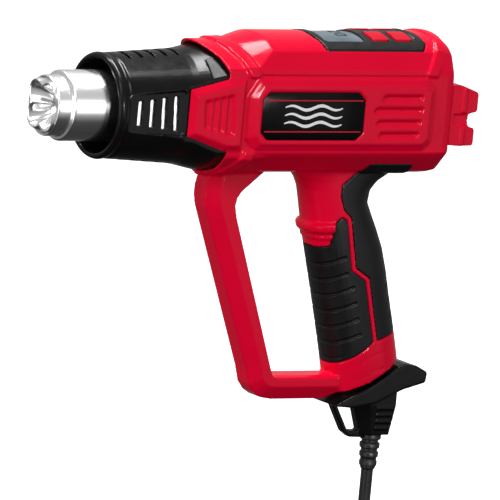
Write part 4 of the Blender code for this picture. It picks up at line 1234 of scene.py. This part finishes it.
def plug(mats):
    """A flat two-pin plug: a ribbed neck that widens into the moulded body, and two round pins."""
    stations = (  # depth under the plug's top, half x, half y, squareness
        (0.3, 5.2, 5.2, 2.0),
        (4.0, 5.6, 5.6, 2.0),
        (5.0, 4.7, 4.7, 2.0),
        (7.0, 4.7, 4.7, 2.0),
        (8.0, 6.2, 6.0, 2.0),
        (11.0, 6.4, 6.2, 2.0),
        (12.0, 5.4, 5.2, 2.0),
        (13.6, 5.4, 5.2, 2.0),
        (14.6, 7.4, 6.8, 2.2),
        (20.0, 12.6, 9.0, 2.6),
        (26.0, 15.8, 10.8, 2.8),
        (36.0, 17.0, 12.2, 3.0),
        (41.0, 17.4, 12.4, 3.0),
        (42.2, 16.6, 11.8, 3.0),
    )
    rings = []
    for depth, half_x, half_y, power in stations:
        outline = squared(half_x, half_y, power)
        rings.append([(TAIL_X + x, PLUG_Y + y, PLUG_TOP - depth) for x, y in outline])
    body = loft(rings)
    for side in (-1, 1):
        body = cut(body, rod((TAIL_X + side * PIN_AT, PLUG_Y, PLUG_TOP - 43.5), 2.6, 9.5, "Z"))
    pieces = [place(body, "plug_body_moulding", mats["plug_plastic"], "plug_body", smooth=50)]
    tip = PLUG_TOP - 42.3 - 19.0
    profile = ((0.0, 26.5), (2.4, 26.5), (2.4, 1.4), (2.0, 0.5), (1.2, 0.05), (0.0, 0.0))
    for side, hand in HANDS:
        pin = turned(profile, (TAIL_X + side * PIN_AT, PLUG_Y, tip), "Z", 32, False)
        pieces.append(place(pin, f"plug_pin_{hand}_bar", mats["pin_brass"], f"plug_pin_{hand}"))
    return pieces


# ---- carried-over nodes


def dress_nodes(mats):
    """Gives each CAD node that stays its finish."""
    for name, node in NODES.items():
        node.data.materials.clear()
        node.data.materials.append(mats[SLOT_OF[name]])


# ---- camera, lights and floor

AZIMUTH, ELEVATION, ROLL = math.radians(32.0), math.radians(9.03), math.radians(5.35)
AIM = Vector((142.7, 0.0, -81.9))
DISTANCE, LENS = 6.0, 771.4
SKY = 0.62  # strength of the surround


def look_from(right, up, back, place_at):
    return Matrix.Translation(place_at) @ Matrix((right, up, back)).transposed().to_4x4()


def camera():
    flat = Vector((-math.sin(AZIMUTH), -math.cos(AZIMUTH), 0.0))
    back = flat * math.cos(ELEVATION) + Vector((0.0, 0.0, math.sin(ELEVATION)))
    level = Vector((math.cos(AZIMUTH), -math.sin(AZIMUTH), 0.0))
    up = back.cross(level)
    right = level * math.cos(ROLL) + up * math.sin(ROLL)
    up = up * math.cos(ROLL) - level * math.sin(ROLL)
    data = bpy.data.cameras.new("view")
    data.lens = LENS
    data.clip_start, data.clip_end = 0.05, 50.0
    obj = hold(data, "view")
    obj.matrix_world = look_from(right, up, back, TO_ROW @ AIM + back * DISTANCE)
    bpy.context.scene.camera = obj


def softbox(name, place_at, target, size, power, sheen_only=False):
    """A rectangular lamp; one for sheen only adds highlights and no other light."""
    data = bpy.data.lights.new(name, "AREA")
    data.shape = "RECTANGLE"
    data.size, data.size_y = size
    data.energy = power
    obj = hold(data, name)
    obj.location = place_at
    obj.rotation_euler = (Vector(target) - Vector(place_at)).to_track_quat("-Z", "Y").to_euler()
    obj.visible_diffuse = not sheen_only


def sky():
    """A soft grey surround, bright overhead and dark under the horizon."""
    world = bpy.data.worlds.new("studio")
    world.use_nodes = True
    tree = world.node_tree
    height = tree.nodes.new("ShaderNodeSeparateXYZ")
    tree.links.new(tree.nodes.new("ShaderNodeTexCoord").outputs["Generated"], height.inputs["Vector"])
    spread_out = add(tree, "ShaderNodeMapRange")
    spread_out.inputs["From Min"].default_value = -1.0
    tree.links.new(height.outputs["Z"], spread_out.inputs["Value"])
    tones = tree.nodes.new("ShaderNodeValToRGB")
    stops = tones.color_ramp.elements
    for place_at, level in ((0.19, 0.08), (0.35, 0.50), (0.50, 0.66), (0.72, 0.80)):
        stops.new(place_at).color = (level, level, level, 1.0)
    stops[0].color = (0.06, 0.06, 0.06, 1.0)
    stops[-1].color = (0.85, 0.85, 0.85, 1.0)
    tree.links.new(spread_out.outputs["Result"], tones.inputs["Fac"])
    tree.links.new(tones.outputs["Color"], tree.nodes["Background"].inputs["Color"])
    tree.nodes["Background"].inputs["Strength"].default_value = SKY
    bpy.context.scene.world = world


def studio():
    """A white floor just under the gun, the surround and the lamps."""
    floor = hold(bpy.data.meshes.new("floor"), "floor")
    work = bmesh.new()
    bmesh.ops.create_grid(work, x_segments=2, y_segments=2, size=40.0)
    work.to_mesh(floor.data)
    work.free()
    floor.location = (0.0, 0.0, cad_box[0][2] - 0.003)
    mat, tree, shader = nodes_of("floor", (0.9, 0.9, 0.9), 0.9)
    shader.inputs["Emission Color"].default_value = (1.0, 1.0, 1.0, 1.0)
    shader.inputs["Emission Strength"].default_value = 0.9
    from_below = tree.nodes.new("ShaderNodeMixShader")
    tree.links.new(tree.nodes.new("ShaderNodeNewGeometry").outputs["Backfacing"], from_below.inputs["Fac"])
    tree.links.new(shader.outputs["BSDF"], from_below.inputs[1])
    tree.links.new(tree.nodes.new("ShaderNodeBsdfTransparent").outputs["BSDF"], from_below.inputs[2])
    tree.links.new(from_below.outputs["Shader"], tree.nodes["Material Output"].inputs["Surface"])
    floor.data.materials.append(mat)
    floor.visible_diffuse = floor.visible_glossy = floor.visible_shadow = False
    sky()
    softbox("key", (-0.75, -0.9, 1.15), (0.0, 0.0, 0.0), (0.45, 0.45), 9.0)
    softbox("front", (-1.5, -0.5, 0.2), (0.0, 0.0, 0.0), (0.3, 0.9), 5.0)
    softbox("rim", (-0.36, 0.48, 1.15), (0.0, 0.0, 0.05), (0.26, 0.26), 12.0)
    softbox("low", (-1.5, -0.35, -0.3), (-0.09, 0.0, -0.05), (0.6, 0.6), 2.0)
    softbox("patch", (0.272, -0.265, 1.238), (-0.11, -0.026, 0.118), (0.15, 0.15), 2.6, True)
    softbox("shoulder", (0.03, 0.08, 1.19), (-0.085, 0.08, 0.13), (0.75, 0.24), 36.0, True)
    softbox("edges", (-0.02, -1.22, 0.245), (-0.086, -0.031, 0.107), (0.13, 0.13), 14.0, True)
    softbox("tube", (0.735, -1.50, 0.52), (-0.185, -0.02, 0.10), (0.6, 0.6), 0.9, True)
    softbox("side", (1.0, -1.65, -0.12), (0.0, 0.0, 0.0), (1.1, 0.6), 2.4)
    scene = bpy.context.scene
    scene.view_settings.view_transform = "Standard"
    scene.view_settings.look = "None"


# ---- the whole


def main():
    mats = make_materials()
    dress_nodes(mats)
    camera()
    studio()
    lead = cord(mats)
    coil_tie(mats)
    plug_pieces = plug(mats)
    for build in (housing, grips, heat_sleeve, outlet, labels, control_panel, rear_stand, end_cap, cord_boot):
        build(mats)


main()
